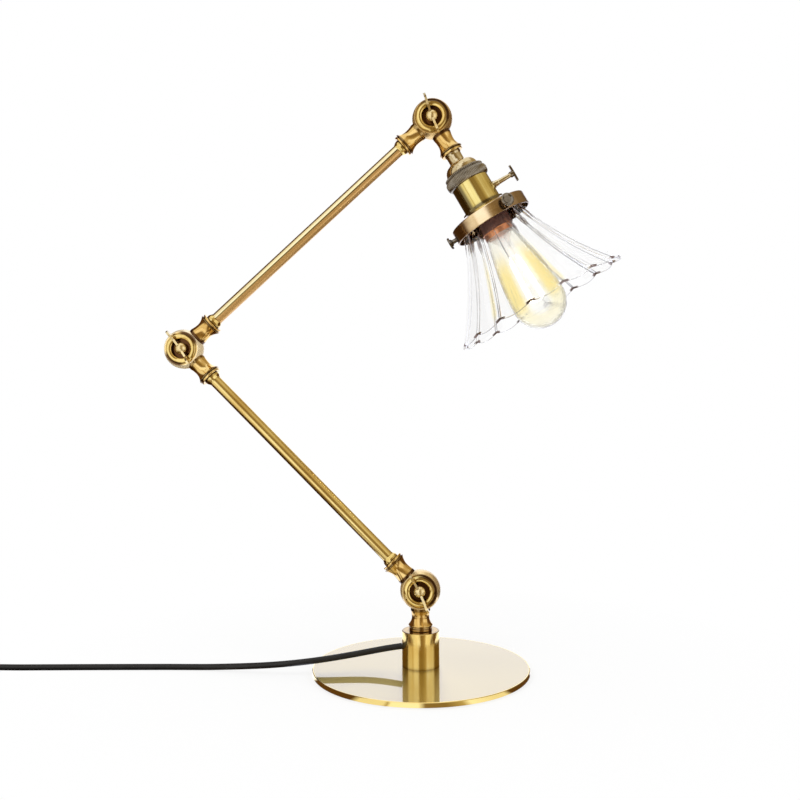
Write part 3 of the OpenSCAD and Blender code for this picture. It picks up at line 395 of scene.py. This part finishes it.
class Nodes:
    """A node tree and short ways to add nodes to it. Most of them return the new node's output."""

    def __init__(self, tree):
        self.tree = tree

    def node(self, kind, **values):
        """A new node. Each value goes to the input or to the setting of its name."""
        node = self.tree.nodes.new(kind)
        for name, value in values.items():
            if name in node.inputs:
                node.inputs[name].default_value = value
            else:
                setattr(node, name, value)
        return node

    def link(self, source, target):
        self.tree.links.new(source, target)

    def math(self, operation, *values):
        node = self.node("ShaderNodeMath", operation=operation)
        for value, socket in zip(values, node.inputs):
            if isinstance(value, (int, float)):
                socket.default_value = value
            else:
                self.link(value, socket)
        return node.outputs[0]

    def times(self, *values):
        return reduce(lambda a, b: self.math("MULTIPLY", a, b), values)

    def most(self, *values):
        return reduce(lambda a, b: self.math("MAXIMUM", a, b), values)

    def off(self, value, centre=0.0):
        """How far a value lies from a centre, to either side."""
        return self.math("ABSOLUTE", self.math("SUBTRACT", value, centre))

    def hypot(self, a, b):
        return self.math("SQRT", self.math("ADD", self.times(a, a), self.times(b, b)))

    def range(self, source, low, high, from_low=0.0, from_high=1.0, kind="LINEAR"):
        """From low to high while the source goes from from_low to from_high."""
        node = self.node("ShaderNodeMapRange", interpolation_type=kind)
        limits = {"From Min": from_low, "From Max": from_high, "To Min": low, "To Max": high}
        for name, value in limits.items():
            node.inputs[name].default_value = value
        self.link(source, node.inputs["Value"])
        return node.outputs["Result"]

    def rise(self, source, start, end, most=1.0):
        """From 0 up to most while the source goes from start to end."""
        return self.range(source, 0, most, start, end)

    def fall(self, source, start, end, most=1.0):
        """From most down to 0 while the source goes from start to end."""
        return self.range(source, most, 0, start, end)

    def axes(self, vector):
        node = self.node("ShaderNodeSeparateXYZ")
        self.link(vector, node.inputs[0])
        return node.outputs

    def length(self, vector):
        node = self.node("ShaderNodeVectorMath", operation="LENGTH")
        self.link(vector, node.inputs[0])
        return node.outputs["Value"]

    def dot(self, vector, direction):
        node = self.node("ShaderNodeVectorMath", operation="DOT_PRODUCT")
        self.link(vector, node.inputs[0])
        node.inputs[1].default_value = direction
        return node.outputs["Value"]

    def coordinates(self, axis=None, scale=(1, 1, 1)):
        """Places on the piece, turned so that a line at that angle from the table lies on Z."""
        place = self.node("ShaderNodeTexCoord").outputs["Object"]
        if axis is not None:
            place = self.mapped(place, Rotation=(0, axis - math.pi / 2, 0))
        return self.mapped(place, Scale=scale)

    def from_point(self, origin):
        """The way in millimetres to each place on the piece, from an origin given in metres."""
        place = self.node("ShaderNodeTexCoord").outputs["Object"]
        return self.mapped(place, Scale=(1 / MM,) * 3, Location=-Vector(origin) / MM)

    def mapped(self, vector, **values):
        node = self.node("ShaderNodeMapping", **values)
        self.link(vector, node.inputs["Vector"])
        return node.outputs["Vector"]

    def noise(self, scale, detail=4.0, place=None):
        node = self.node("ShaderNodeTexNoise", Scale=scale, Detail=detail)
        self.link(self.coordinates() if place is None else place, node.inputs["Vector"])
        return node.outputs["Fac"]

    def wander(self, value, scale, amount):
        """The value, moved up and down by a slow noise, so that its edges aren't straight."""
        shift = self.times(self.math("SUBTRACT", self.noise(scale), 0.5), amount)
        return self.math("ADD", value, shift)

    def facing(self):
        """0 where the surface faces the viewer, and 1 where it turns edge on."""
        return self.node("ShaderNodeLayerWeight", Blend=0.5).outputs["Facing"]

    def ramp(self, source, stops):
        """A colour for each value of the source, from stops of (value, colour)."""
        node = self.node("ShaderNodeValToRGB")
        fill_ramp(node.color_ramp, stops)
        self.link(source, node.inputs["Fac"])
        return node.outputs["Color"]

    def blend(self, share, source, colour, kind="MIX"):
        """The source's colour, with a share of another colour over it."""
        node = self.node("ShaderNodeMix", data_type="RGBA", blend_type=kind)
        self.link(share, node.inputs[0])
        self.link(source, node.inputs[6])
        node.inputs[7].default_value = (*colour, 1)
        return node.outputs[2]

    def mix(self, share, first, second):
        """Two shaders in one: a share of 0 gives the first."""
        node = self.node("ShaderNodeMixShader")
        for source, socket in zip((share, first, second), node.inputs):
            self.link(source, socket)
        return node.outputs[0]


class Shader(Nodes):
    """A material's nodes: those of a new material of that name, or those of a finished one."""

    def __init__(self, material):
        if isinstance(material, str):
            material = bpy.data.materials.new(material)
            material.use_nodes = True
        super().__init__(material.node_tree)
        self.material = material
        self.surface = self.tree.nodes["Principled BSDF"]

    def set(self, **values):
        for name, value in values.items():
            self.surface.inputs[name.replace("_", " ")].default_value = value

    def feed(self, **sources):
        for name, source in sources.items():
            self.link(source, self.surface.inputs[name.replace("_", " ")])

    def bump(self, height, strength, distance):
        node = self.node("ShaderNodeBump", Strength=strength, Distance=distance)
        self.link(height, node.inputs["Height"])
        self.feed(Normal=node.outputs["Normal"])


GOLD = (0.95, 0.76, 0.31)
GOLD_DEEP = (0.78, 0.55, 0.18)
SWIVEL_GOLD = (0.93, 0.69, 0.29)
SWIVEL_DEEP = (0.80, 0.52, 0.17)
AGED = (0.42, 0.375, 0.31)
AGED_DEEP = (0.22, 0.19, 0.15)
# The cream of the painted sheen on the edges of the swivels' balls
SHEEN_CREAM = (1.0, 0.88, 0.62)
# This also sets how dark the painted shade in gaps and on the swivels is
PATINA_AND_SHADE = (0.12, 0.07, 0.05)  # how much of a metal's darker colour its patina leaves
SHEEN_ROUGH = 0.3
GRAIN_SCALE = 900
GLASS_WAVES = 60
ORIGIN = (0, 0, 0)
# Sizes of the model that the plate's rim and the painted shade follow, in millimetres; those of a
# swivel are radii
PLATE_R = 88.9
COLUMN_TOP = 34.1
RECESS_R = 8.3
GROOVE_R = 13.0
BALL_R = 16.6
NECK_EDGE_R = 32.0
# The bulb's glass, along the head's axis
BULB_FROM = 107
BULB_TO = 197.7
# The side of each swivel's groove that is painted in shade, in degrees round the pin, and on how
# many sides that is so
SHADED_GROOVE_SIDES = {"base_knuckle": (15, 1), "elbow": (235, 2), "head_tilt": (50, 1)}
# How strong the painted cream sheen on the edge of each swivel's ball is
PAINTED_SHEEN = {"base_knuckle": 0.25, "elbow": 0.65, "head_tilt": 0.12}


def swivel_shade_marks(shader, joint, front):
    """How much painted shade a swivel has, and where the satin band at the edge of its ball is.

    Each half has painted shade where its neck leaves the ball and at the neck's far edge. The front
    one has painted shade inside its ring too, and on given sides of the groove outside the ring."""
    way = shader.from_point(pivot(joint))
    apart = shader.length(way)
    x, y, z = shader.axes(way)
    # Painted shade where the neck leaves the ball and round the neck's far edge
    root = shader.times(shader.rise(apart, BALL_R + 0.05, BALL_R + 0.2),
                        shader.fall(apart, BALL_R + 1.9, BALL_R + 2.8, 0.6 if front else 0.98))
    dark = shader.most(root, shader.fall(shader.off(apart, NECK_EDGE_R), 0.45, 0.8, 0.75))
    # The satin band at the ball's edge, which also carries the painted sheen
    ball_edge = shader.times(shader.rise(apart, BALL_R - 0.7, BALL_R - 0.4),
                        shader.fall(apart, BALL_R + 0.05, BALL_R + 0.2))
    if front:
        # Painted shade inside the ring and on the given sides of the groove
        side, sides = SHADED_GROOVE_SIDES[joint]
        reach = shader.hypot(x, z)
        well = shader.fall(reach, RECESS_R - 0.3, RECESS_R + 0.2)
        turn = shader.math("SUBTRACT", shader.math("ARCTAN2", z, x), math.radians(side))
        shaded_side = shader.rise(shader.math("COSINE", shader.times(turn, sides)), -0.1, 0.5)
        groove = shader.times(shader.fall(shader.off(reach, GROOVE_R), 1.2, 1.7, 0.95), shaded_side)
        dark = shader.most(shader.times(shader.most(well, groove), shader.fall(y, -4, -2)), dark)
    return dark, ball_edge


def metal(name, light, dark, rough, streak_axis=None, streak_scale=(500, 500, 500), streak=0.05,
          coat=0.2, recess=4.0, relief=0.00002, swivel=None, front=False):
    """Lacquered brass: streaks of its finish, a slow change of colour, and darkening in its
    recesses, partly patina and partly painted shade.

    The streaks' scale is that of their noise, small along the streaks. The recess is the width in
    millimetres up to which a gap is darkened. A swivel's brass has painted shade of its own as well,
    and a painted cream sheen on the edge of its ball."""
    shader = Shader(name)
    streaks = shader.noise(1.0, detail=2, place=shader.coordinates(streak_axis, streak_scale))
    drift = shader.noise(30, detail=3)
    tone = shader.math("ADD", shader.times(drift, 0.7), shader.times(streaks, 0.3))
    tint = shader.ramp(tone, [(0.38, dark), (0.6, light)])
    patina_and_shade = tuple(c * share for c, share in zip(dark, PATINA_AND_SHADE))
    # Gaps are darkened, partly as patina and partly as painted shade
    hollow = shader.node("ShaderNodeAmbientOcclusion", Distance=recess * MM, samples=8)
    tint = shader.blend(shader.fall(hollow.outputs["AO"], 0.3, 0.85), tint, patina_and_shade)
    dull = shader.math("ADD", shader.range(streaks, -streak, streak, 0.3, 0.7),
                       shader.range(drift, rough + 0.03, rough - 0.02, 0.35, 0.65))
    # A swivel adds its painted shade and a painted cream sheen
    if swivel:
        swivel_shade, ball_edge = swivel_shade_marks(shader, swivel, front)
        # Painted sheen: the ball's edge turns cream and less metallic
        painted_sheen = shader.times(ball_edge, PAINTED_SHEEN[swivel])
        tint = shader.blend(swivel_shade, shader.blend(painted_sheen, tint, SHEEN_CREAM), patina_and_shade)
        dull = shader.most(dull, shader.times(ball_edge, SHEEN_ROUGH))
        shader.feed(Metallic=shader.fall(painted_sheen, 0, 1))
    if relief:
        shader.bump(streaks, 0.05, relief)
    shader.feed(Base_Color=tint, Roughness=dull)
    shader.set(Metallic=1.0, Coat_Weight=coat, Coat_Roughness=0.1)
    return shader.material


# Shares, from 0 to 1, of a colour that is laid over a material, most of them painted shade and
# painted highlights: each adds nodes to its shader

def above(low, high, most):
    """A share that grows from one height to another, in millimetres."""
    def share(shader):
        return shader.rise(shader.axes(shader.from_point(ORIGIN))["Z"], low, high, most)

    return share


def below_axis(shader):
    """How far a place on the upper tube lies below the tube's axis, across it, in millimetres."""
    down = Vector((math.sin(UPPER_ANGLE), 0, -math.cos(UPPER_ANGLE)))
    return shader.dot(shader.from_point(pivot("elbow")), down)


# Painted warm light on the upper tube's underside, which is made less metallic there
def painted_warm_light_share(shader):
    return shader.rise(below_axis(shader), 0.6, 1.0)


# Painted highlight along the upper tube's top
def painted_highlight_share(shader):
    return shader.fall(below_axis(shader), -0.2, 0.1, 0.7)


def painted_dark_line_share(shader):
    """A painted dark line along the tube, where its painted highlight ends."""
    return shader.fall(shader.off(below_axis(shader), 0.35), 0.35, 0.6, 0.9)


def head_place(shader):
    """How far a place lies along the head's axis, and towards the key, in millimetres."""
    way = shader.from_point(HEAD.translation)
    return shader.dot(way, HEAD.col[2].to_3d()), shader.dot(way, -HEAD.col[0].to_3d())


def shell_painted_shade_share(shader):
    """The socket's shell has painted shade at its flange and on both of its sides."""
    along, side = head_place(shader)
    return shader.most(shader.rise(along, 83.2, 84.2, 0.85), shader.fall(side, -10, -8, 0.85),
                       shader.rise(side, 12.5, 15, 0.5))


def key_share(shader):
    """The key is dark at its grip."""
    return shader.rise(head_place(shader)[1], 31, 32, 0.85)


def holder_painted_shade_share(shader):
    """The shade holder has painted shade on both of its sides, with uneven edges."""
    side = shader.wander(head_place(shader)[1], 50, 20)
    return shader.most(shader.rise(side, 2, 9, 0.78), shader.fall(side, -24, -15, 0.85))


def overlay(material, share, colour, shine=1.0):
    """The material with a colour over its own; the shine is how metallic that colour is."""
    shader = Shader(material)
    cover = share(shader)
    below = shader.surface.inputs["Base Color"].links[0].from_socket
    shader.feed(Base_Color=shader.blend(cover, below, colour))
    if shine < 1:
        shader.feed(Metallic=shader.range(cover, 1, shine))
    return material


def polished_plate():
    """The plate's mirror finish under thick lacquer; the rim is bare polished brass."""
    shader = Shader("polished_plate")
    face = shader.ramp(shader.noise(7, detail=1),
                       [(0.35, (0.51, 0.375, 0.055)), (0.65, (0.58, 0.43, 0.075))])
    x, y, _ = shader.axes(shader.from_point(ORIGIN))
    rim = shader.rise(shader.hypot(x, y), PLATE_R - 1.2, PLATE_R - 0.7)
    shader.feed(Base_Color=shader.blend(rim, face, GOLD), Roughness=shader.range(rim, 0.42, 0.12),
                Coat_Weight=shader.fall(rim, 0, 1))
    shader.bump(shader.noise(GRAIN_SCALE, detail=2), 0.02, 0.00001)
    shader.set(Metallic=1.0, Coat_IOR=3.6, Coat_Roughness=0.02)
    return shader.material


def plain(name, colour, rough, grain=0.2, metallic=0.0, vary=0.25):
    """A moulded, rubber or plated finish with a fine grain."""
    shader = Shader(name)
    grains = shader.noise(GRAIN_SCALE, detail=3)
    lighter = tuple(min(1, c * (1 + vary)) for c in colour)
    darker = tuple(c * (1 - vary) for c in colour)
    shader.feed(Base_Color=shader.ramp(shader.noise(90), [(0.35, darker), (0.65, lighter)]),
                Roughness=shader.range(grains, rough - 0.08, rough + 0.08))
    shader.bump(grains, grain, 0.0001)
    shader.set(Metallic=metallic)
    return shader.material


def clear_glass(name, tint, solid):
    """Thin glass with a faint waviness; part of the light goes straight through."""
    shader = Shader(name)
    shader.bump(shader.noise(GLASS_WAVES, detail=1), 0.03, 0.0003)
    shader.set(Base_Color=(*tint, 1), Roughness=0.0, IOR=1.45, Transmission_Weight=1.0, Alpha=solid)
    return shader.material


def amber_glass(name):
    """The bulb's glass: palest at its neck and tip, more yellow in between."""
    shader = Shader(name)
    along, _ = head_place(shader)
    amber = shader.ramp(shader.rise(shader.wander(along, 40, 12), BULB_FROM, BULB_TO), [
        (0.0, (1, 0.99, 0.93)), (0.2, (1, 0.97, 0.84)), (0.38, (1, 0.86, 0.40)),
        (0.68, (1, 0.85, 0.36)), (0.8, (1, 0.95, 0.72)), (1.0, (1, 0.97, 0.84)),
    ])
    facing = shader.facing()
    # Painted glow: the glass is paler where it faces the viewer, as if washed out by the filaments'
    # light, and paler at its outline
    pale = shader.math("ADD", shader.fall(facing, 0.05, 0.15, 0.95),
                       shader.rise(facing, 0.45, 0.75, 0.85))
    shader.feed(Base_Color=shader.blend(pale, amber, (1, 1, 0.97)),
                Alpha=shader.range(facing, 0.6, 0.22, 0.75, 1.0))
    shader.bump(shader.noise(GLASS_WAVES, detail=1), 0.03, 0.0003)
    shader.set(Roughness=0.0, IOR=1.12, Transmission_Weight=1.0)
    return shader.material


def fluted_glass(name):
    """Clear glass that shows as thin grey lines: its creases and its rim, painted grey as dark
    reflections, and its outline.

    The creases are painted dark near the holder, as a painted reflection of its inside, and in
    glints where they meet the rim. The far wall has amber streaks beside the bulb, a painted
    reflection of the bulb. The wave is 0 in a crease and 1 on a crest."""
    shader = Shader(name)
    x, y, along = shader.axes(shader.from_point(ORIGIN))
    turn = shader.math("ARCTAN2", y, x)
    wave = shader.off(shader.math("COSINE", shader.times(turn, FLUTES / 2)))
    across = shader.off(shader.math("COSINE", turn))
    neck = shader.times(shader.fall(along, FOOT_S + 6, FOOT_S + 12),
                        shader.range(across, 0.1, 1, 0.25, 0.6))
    keyward = shader.rise(shader.off(turn), 2.25, 2.45)
    width = shader.math("ADD", shader.times(neck, 0.5),
                        shader.math("ADD", shader.times(keyward, 0.05), 0.08))
    line = shader.fall(shader.math("DIVIDE", wave, width), 0.45, 1.0)
    fade = shader.range(shader.noise(28, detail=1), 0.5, 0.9, 0.4, 0.6)
    crease = shader.times(line, shader.most(fade, keyward, neck))

    edge = shader.math("SUBTRACT", along, shader.times(wave, SCALLOP))
    end = RIM_S - WAVE_MEAN * SCALLOP
    rim = shader.rise(edge, end, end + 0.4)
    # Painted glints: dark dashes where the creases meet the rim
    rim_glint = shader.times(shader.rise(edge, end - 1.3, end - 0.8), shader.fall(wave, 0.36, 0.5))
    dark = shader.most(shader.times(neck, line), rim_glint)

    # Painted reflection of the bulb: amber streaks on the far wall beside it
    beside = shader.times(shader.rise(across, 0.42, 0.5), shader.fall(across, 0.6, 0.66))
    lit = shader.times(shader.rise(along, 110, 130), shader.fall(along, 162, 170))
    amber = shader.times(beside, lit, shader.rise(y, 0, 1), shader.fall(wave, 0.2, 0.42))

    # Painted dark reflections: the creases and the rim are tinted grey and made more solid
    tint = shader.ramp(shader.most(crease, shader.times(rim, 0.6)),
                       [(0, (1, 1, 1)), (0.7, (0.14, 0.145, 0.165)), (1, (0.04, 0.042, 0.05))])
    tint = shader.blend(dark, shader.blend(amber, tint, (1.0, 0.88, 0.46)), (0.05, 0.025, 0.022))
    seen = shader.most(crease, dark, shader.times(rim, 0.5), shader.times(amber, 0.7))
    outline = shader.math("ADD", shader.rise(shader.facing(), 0.88, 1.0, 0.4), 0.04)
    shader.feed(Base_Color=tint, Alpha=shader.most(shader.times(seen, 0.95), outline))
    shader.bump(shader.noise(GLASS_WAVES, detail=1), 0.03, 0.0002)
    shader.set(Roughness=0.0, IOR=1.4, Transmission_Weight=1.0)
    return shader.material


def glowing(name, colour, strength):
    shader = Shader(name)
    shader.set(Base_Color=(1, 0.9, 0.7, 1), Emission_Color=(*colour, 1), Emission_Strength=strength,
               Roughness=0.5)
    shader.bump(shader.noise(1500), 0.3, 0.0002)
    return shader.material


def assign(material, *names):
    for name in names:
        piece = NODES[name]
        piece.data.materials.clear()
        piece.data.materials.append(material)


# Noise scales of the metals' streaks: high across them and low along them, or the same all round
DRAWN = (1300, 1300, 12)
TURNED = (1500, 1500, 10)
SPUN_SHELL = (1200, 1200, 16)
SPUN_BAND = (60, 60, 1200)
CAST = (300, 300, 300)


def dress_joint(part, joint):
    """The swivel's two halves, its raised ring and its wing screw, whose upper blade is dark."""
    for half in ("front", "rear"):
        name = part + "_swivel_" + half
        assign(metal(name + "_brass", SWIVEL_GOLD, SWIVEL_DEEP, 0.14, streak=0.02, relief=0,
                     swivel=joint, front=half == "front"), name)
    assign(metal(part + "_ring_brass", GOLD, GOLD_DEEP, 0.1, streak=0.02, relief=0, swivel=joint,
                 front=True), part + "_ring")
    wing = metal(part + "_wing_brass", (1.0, 0.86, 0.52), (0.9, 0.70, 0.34), 0.26, recess=1.5)
    height = pivot(joint).z / MM
    assign(overlay(wing, above(height + 9, height + 18, 0.8), AGED_DEEP), part + "_wing")


def dress_base_and_arms():
    assign(polished_plate(), "base_disc")
    column = metal("column_brass", (1.0, 0.82, 0.36), (0.92, 0.66, 0.21), 0.12, math.pi / 2, TURNED)
    # Painted shade on the column's top face
    top = above(COLUMN_TOP - 0.4, COLUMN_TOP - 0.1, 0.9)
    assign(overlay(column, top, (0.30, 0.18, 0.05)), "column")
    assign(metal("column_cap_brass", (0.62, 0.42, 0.14), (0.40, 0.25, 0.07), 0.2, coat=0),
           "column_cap")
    for part, joint in (("base", "base_knuckle"), ("elbow", "elbow"), ("head", "head_tilt")):
        dress_joint(part, joint)
    assign(metal("ferrule_brass", GOLD, GOLD_DEEP, 0.1, streak=0.02, relief=0),
           "lower_ferrules", "upper_ferrules")
    assign(metal("lower_tube_brass", GOLD, GOLD_DEEP, 0.2, LOWER_ANGLE, DRAWN), "lower_tube")
    upper = metal("upper_tube_brass", GOLD, GOLD_DEEP, 0.2, UPPER_ANGLE, DRAWN)
    # The upper tube gets a painted highlight on top, a painted dark line where it ends, and painted
    # warm light underneath
    upper = overlay(upper, painted_highlight_share, (1.0, 0.91, 0.62))
    upper = overlay(upper, painted_dark_line_share, (0.20, 0.16, 0.04))
    assign(overlay(upper, painted_warm_light_share, (0.70, 0.42, 0.15), shine=0.6), "upper_tube")


def dress_head(aged):
    assign(metal("cap_brass", (0.72, 0.60, 0.38), (0.42, 0.33, 0.19), 0.12, HEAD_ANGLE, CAST,
                 recess=2.5), "head_coupling", "socket_cap")
    assign(aged, "socket_collar", "holder_nut")
    assign(metal("screw_brass", (0.26, 0.225, 0.18), (0.12, 0.10, 0.08), 0.1, coat=0.7, recess=1.5),
           "thumb_screw_front", "thumb_screw_left", "thumb_screw_back")
    shell = metal("shell_brass", (0.92, 0.78, 0.33), (0.74, 0.58, 0.18), 0.12, HEAD_ANGLE,
                  SPUN_SHELL)
    assign(overlay(shell, shell_painted_shade_share, (0.13, 0.10, 0.055)), "socket_shell")
    holder = metal("holder_brass", (0.98, 0.78, 0.50), (0.78, 0.56, 0.30), 0.2, HEAD_ANGLE,
                   SPUN_BAND)
    assign(overlay(holder, holder_painted_shade_share, (0.25, 0.15, 0.085)), "shade_holder")
    key = metal("key_brass", (0.95, 0.85, 0.60), (0.70, 0.58, 0.35), 0.1, recess=1.5)
    assign(overlay(key, key_share, (0.16, 0.13, 0.10)), "switch_key", "key_bushing")
    assign(metal("screw_shell_brass", GOLD, GOLD_DEEP, 0.3), "screw_shell")
    assign(metal("copper", (0.92, 0.42, 0.2), (0.75, 0.27, 0.11), 0.3, recess=1.5),
           "bulb_cap", "center_contact")
    assign(clear_glass("stem_glass", (1, 0.97, 0.9), 0.16), "bulb_stem")
    assign(amber_glass("bulb_glass"), "bulb_glass")
    assign(glowing("filament", (1.0, 0.93, 0.76), 4.0), "bulb_filaments")


def dress_rest():
    assign(plain("steel", (0.55, 0.55, 0.53), 0.28, metallic=1.0, vary=0.08),
           "base_screw", "column_nut", "base_nut", "elbow_nut", "head_nut", "head_nipple",
           "plug_blades")
    assign(plain("insulation", (0.13, 0.055, 0.04), 0.45),
           "switch_block", "socket_liner", "base_washer", "elbow_washer", "head_washer")
    assign(plain("pad", (0.03, 0.03, 0.032), 0.85, grain=0.6), "base_pad")
    assign(plain("wire", (0.02, 0.02, 0.02), 0.4),
           "base_wires", "lower_wires", "upper_wires", "head_wires")


# Stage

BROWN = (0.10, 0.048, 0.013)
DUSK = (0.24, 0.165, 0.07)
DIM = (0.46, 0.36, 0.19)
WARM = (0.84, 0.80, 0.70)
WHITE = (1.0, 1.0, 1.0)
BACKDROP = (1.14, 1.175, 1.34)
CEILING = (0.9, 0.88, 0.82)
STUDIO_LIGHT = 1.15
SOFT_LIGHT = 0.7
# What the metal sees round the lamp, by the turn from behind it past its left, front and right: a
# cool white backdrop behind, a soft box on each side, and the dark room between them and in front.
STUDIO = [
    (0.0, BACKDROP), (0.045, BACKDROP), (0.065, BROWN), (0.26, BROWN), (0.285, WARM), (0.365, WARM),
    (0.375, DIM), (0.385, WHITE), (0.465, WHITE), (0.485, DUSK), (0.545, DUSK), (0.595, DIM),
    (0.62, WHITE), (0.70, WARM), (0.745, WARM), (0.77, BROWN), (0.935, BROWN), (0.955, BACKDROP),
]
FLOOR_HALF = 6.0
FLOOR_DROP = 0.0002


def studio_colour(nodes, x, y, factor=1, shift=0):
    """The studio's colour for a direction, or for a place, by its turn round Z.

    The turn from the front is multiplied by the factor, and then the shift is added."""
    angle = nodes.math("ARCTAN2", x, nodes.times(y, -1))
    angle = nodes.math("MULTIPLY_ADD", angle, factor, shift)
    return nodes.ramp(nodes.range(angle, 0, 1, -math.pi, math.pi), STUDIO)


def seen_directly(nodes, rays):
    """1 for what the camera sees, also through the glass."""
    return nodes.most(rays["Is Camera Ray"], rays["Is Transmission Ray"])


def floor_material():
    """A pale floor that fades into the white background, where gloss sees the studio instead.

    For the plate's rim, which sees the floor from close by, the turn from the front counts double.
    Further off, the floor beside the lamp shows less of the studio. Sizes are in millimetres."""
    shader = Shader("floor")
    shader.set(Base_Color=(0.9, 0.9, 0.9, 1), Roughness=0.9, Specular_IOR_Level=0.1)
    way = shader.from_point(ORIGIN)
    reach = shader.length(way)
    x, y, _ = shader.axes(way)
    colour = studio_colour(shader, x, y, shader.range(reach, 2, 1, 100, 160),
                           shader.range(reach, -0.3, 0, 100, 160))
    dusk = shader.times(shader.fall(shader.off(y), 170, 290), shader.rise(reach, 160, 220),
                        shader.fall(reach, 500, 660))
    studio = shader.node("ShaderNodeEmission", Strength=STUDIO_LIGHT)
    shader.link(shader.blend(dusk, colour, DUSK, "MULTIPLY"), studio.inputs["Color"])
    white = shader.node("ShaderNodeEmission", Strength=1.0)
    rays = shader.node("ShaderNodeLightPath").outputs
    faded = shader.times(shader.range(reach, 0.8, 1.0, 100, 350), seen_directly(shader, rays))
    floor = shader.mix(faded, shader.surface.outputs[0], white.outputs[0])
    gloss = shader.math("SUBTRACT", rays["Is Glossy Ray"], rays["Is Transmission Ray"])
    shader.link(shader.mix(shader.most(gloss, 0), floor, studio.outputs[0]),
                shader.tree.nodes["Material Output"].inputs["Surface"])
    return shader.material


def add_floor():
    corners = [(-1, -1), (1, -1), (1, 1), (-1, 1)]
    mesh = bpy.data.meshes.new("floor")
    mesh.from_pydata([(x * FLOOR_HALF, y * FLOOR_HALF, 0) for x, y in corners], [], [(0, 1, 2, 3)])
    mesh.materials.append(floor_material())
    floor = bpy.data.objects.new("floor", mesh)
    SCENE.collection.objects.link(floor)
    floor.location.z = -FLOOR_DROP


def add_world():
    """White behind everything; the metal sees a plain studio with dark gaps between its lights."""
    world = bpy.data.worlds.new("world")
    SCENE.world = world
    world.use_nodes = True
    world.node_tree.nodes.clear()
    nodes = Nodes(world.node_tree)
    x, y, z = nodes.axes(nodes.node("ShaderNodeTexCoord").outputs["Generated"])
    dusk = nodes.times(nodes.rise(x, -0.1, 0.3), nodes.rise(z, 0.42, 0.6, 0.8))
    top = nodes.range(z, 0, 1, 0.84, 0.95, "SMOOTHSTEP")
    colour = nodes.blend(top, nodes.blend(dusk, studio_colour(nodes, x, y), DIM), CEILING)
    white = nodes.node("ShaderNodeBackground", Color=(1, 1, 1, 1))
    soft = nodes.node("ShaderNodeBackground", Color=(1, 1, 1, 1), Strength=SOFT_LIGHT)
    studio = nodes.node("ShaderNodeBackground", Strength=STUDIO_LIGHT)
    nodes.link(colour, studio.inputs["Color"])
    rays = nodes.node("ShaderNodeLightPath").outputs
    unseen = nodes.mix(rays["Is Glossy Ray"], soft.outputs[0], studio.outputs[0])
    background = nodes.mix(seen_directly(nodes, rays), unseen, white.outputs[0])
    nodes.link(background, nodes.node("ShaderNodeOutputWorld").inputs["Surface"])


LAMP_MIDDLE = Vector((0, 0, 0.25))


def add_lamp(name, at, size, power):
    """A square soft light aimed at the middle of the object."""
    data = bpy.data.lights.new(name, "AREA")
    data.size = size
    data.energy = power
    light = bpy.data.objects.new(name, data)
    SCENE.collection.objects.link(light)
    light.visible_glossy = False
    light.location = at
    aim = LAMP_MIDDLE - Vector(at)
    light.rotation_euler = aim.to_track_quat("-Z", "Y").to_euler()


add_camera()
cord = add_cord()
plug = add_plug()
sheath = plain("cord_sheath", (0.007, 0.007, 0.008), 0.5, grain=0.15)
cord.data.materials.append(sheath)
plug.data.materials.append(sheath)
assign(sheath, "cord_tie", "cord_bushing")
aged_brass = metal("aged_brass", AGED, AGED_DEEP, 0.16, HEAD_ANGLE, CAST, recess=2.5)
dress_base_and_arms()
dress_head(aged_brass)
dress_rest()
shade = add_object("shade", shade_mesh(), "head", "glass_shade", place=HEAD)
shade.data.materials.append(fluted_glass("shade_glass"))
collar = add_object("collar", collar_mesh(), "head", "socket_collar", place=HEAD)
collar.data.materials.append(aged_brass)
add_floor()
add_world()
add_lamp("key_light", at=(-1.0, -1.3, 1.5), size=0.9, power=18)
add_lamp("fill_light", at=(1.4, -0.9, 1.0), size=0.9, power=9)
SCENE.view_settings.view_transform = "Standard"
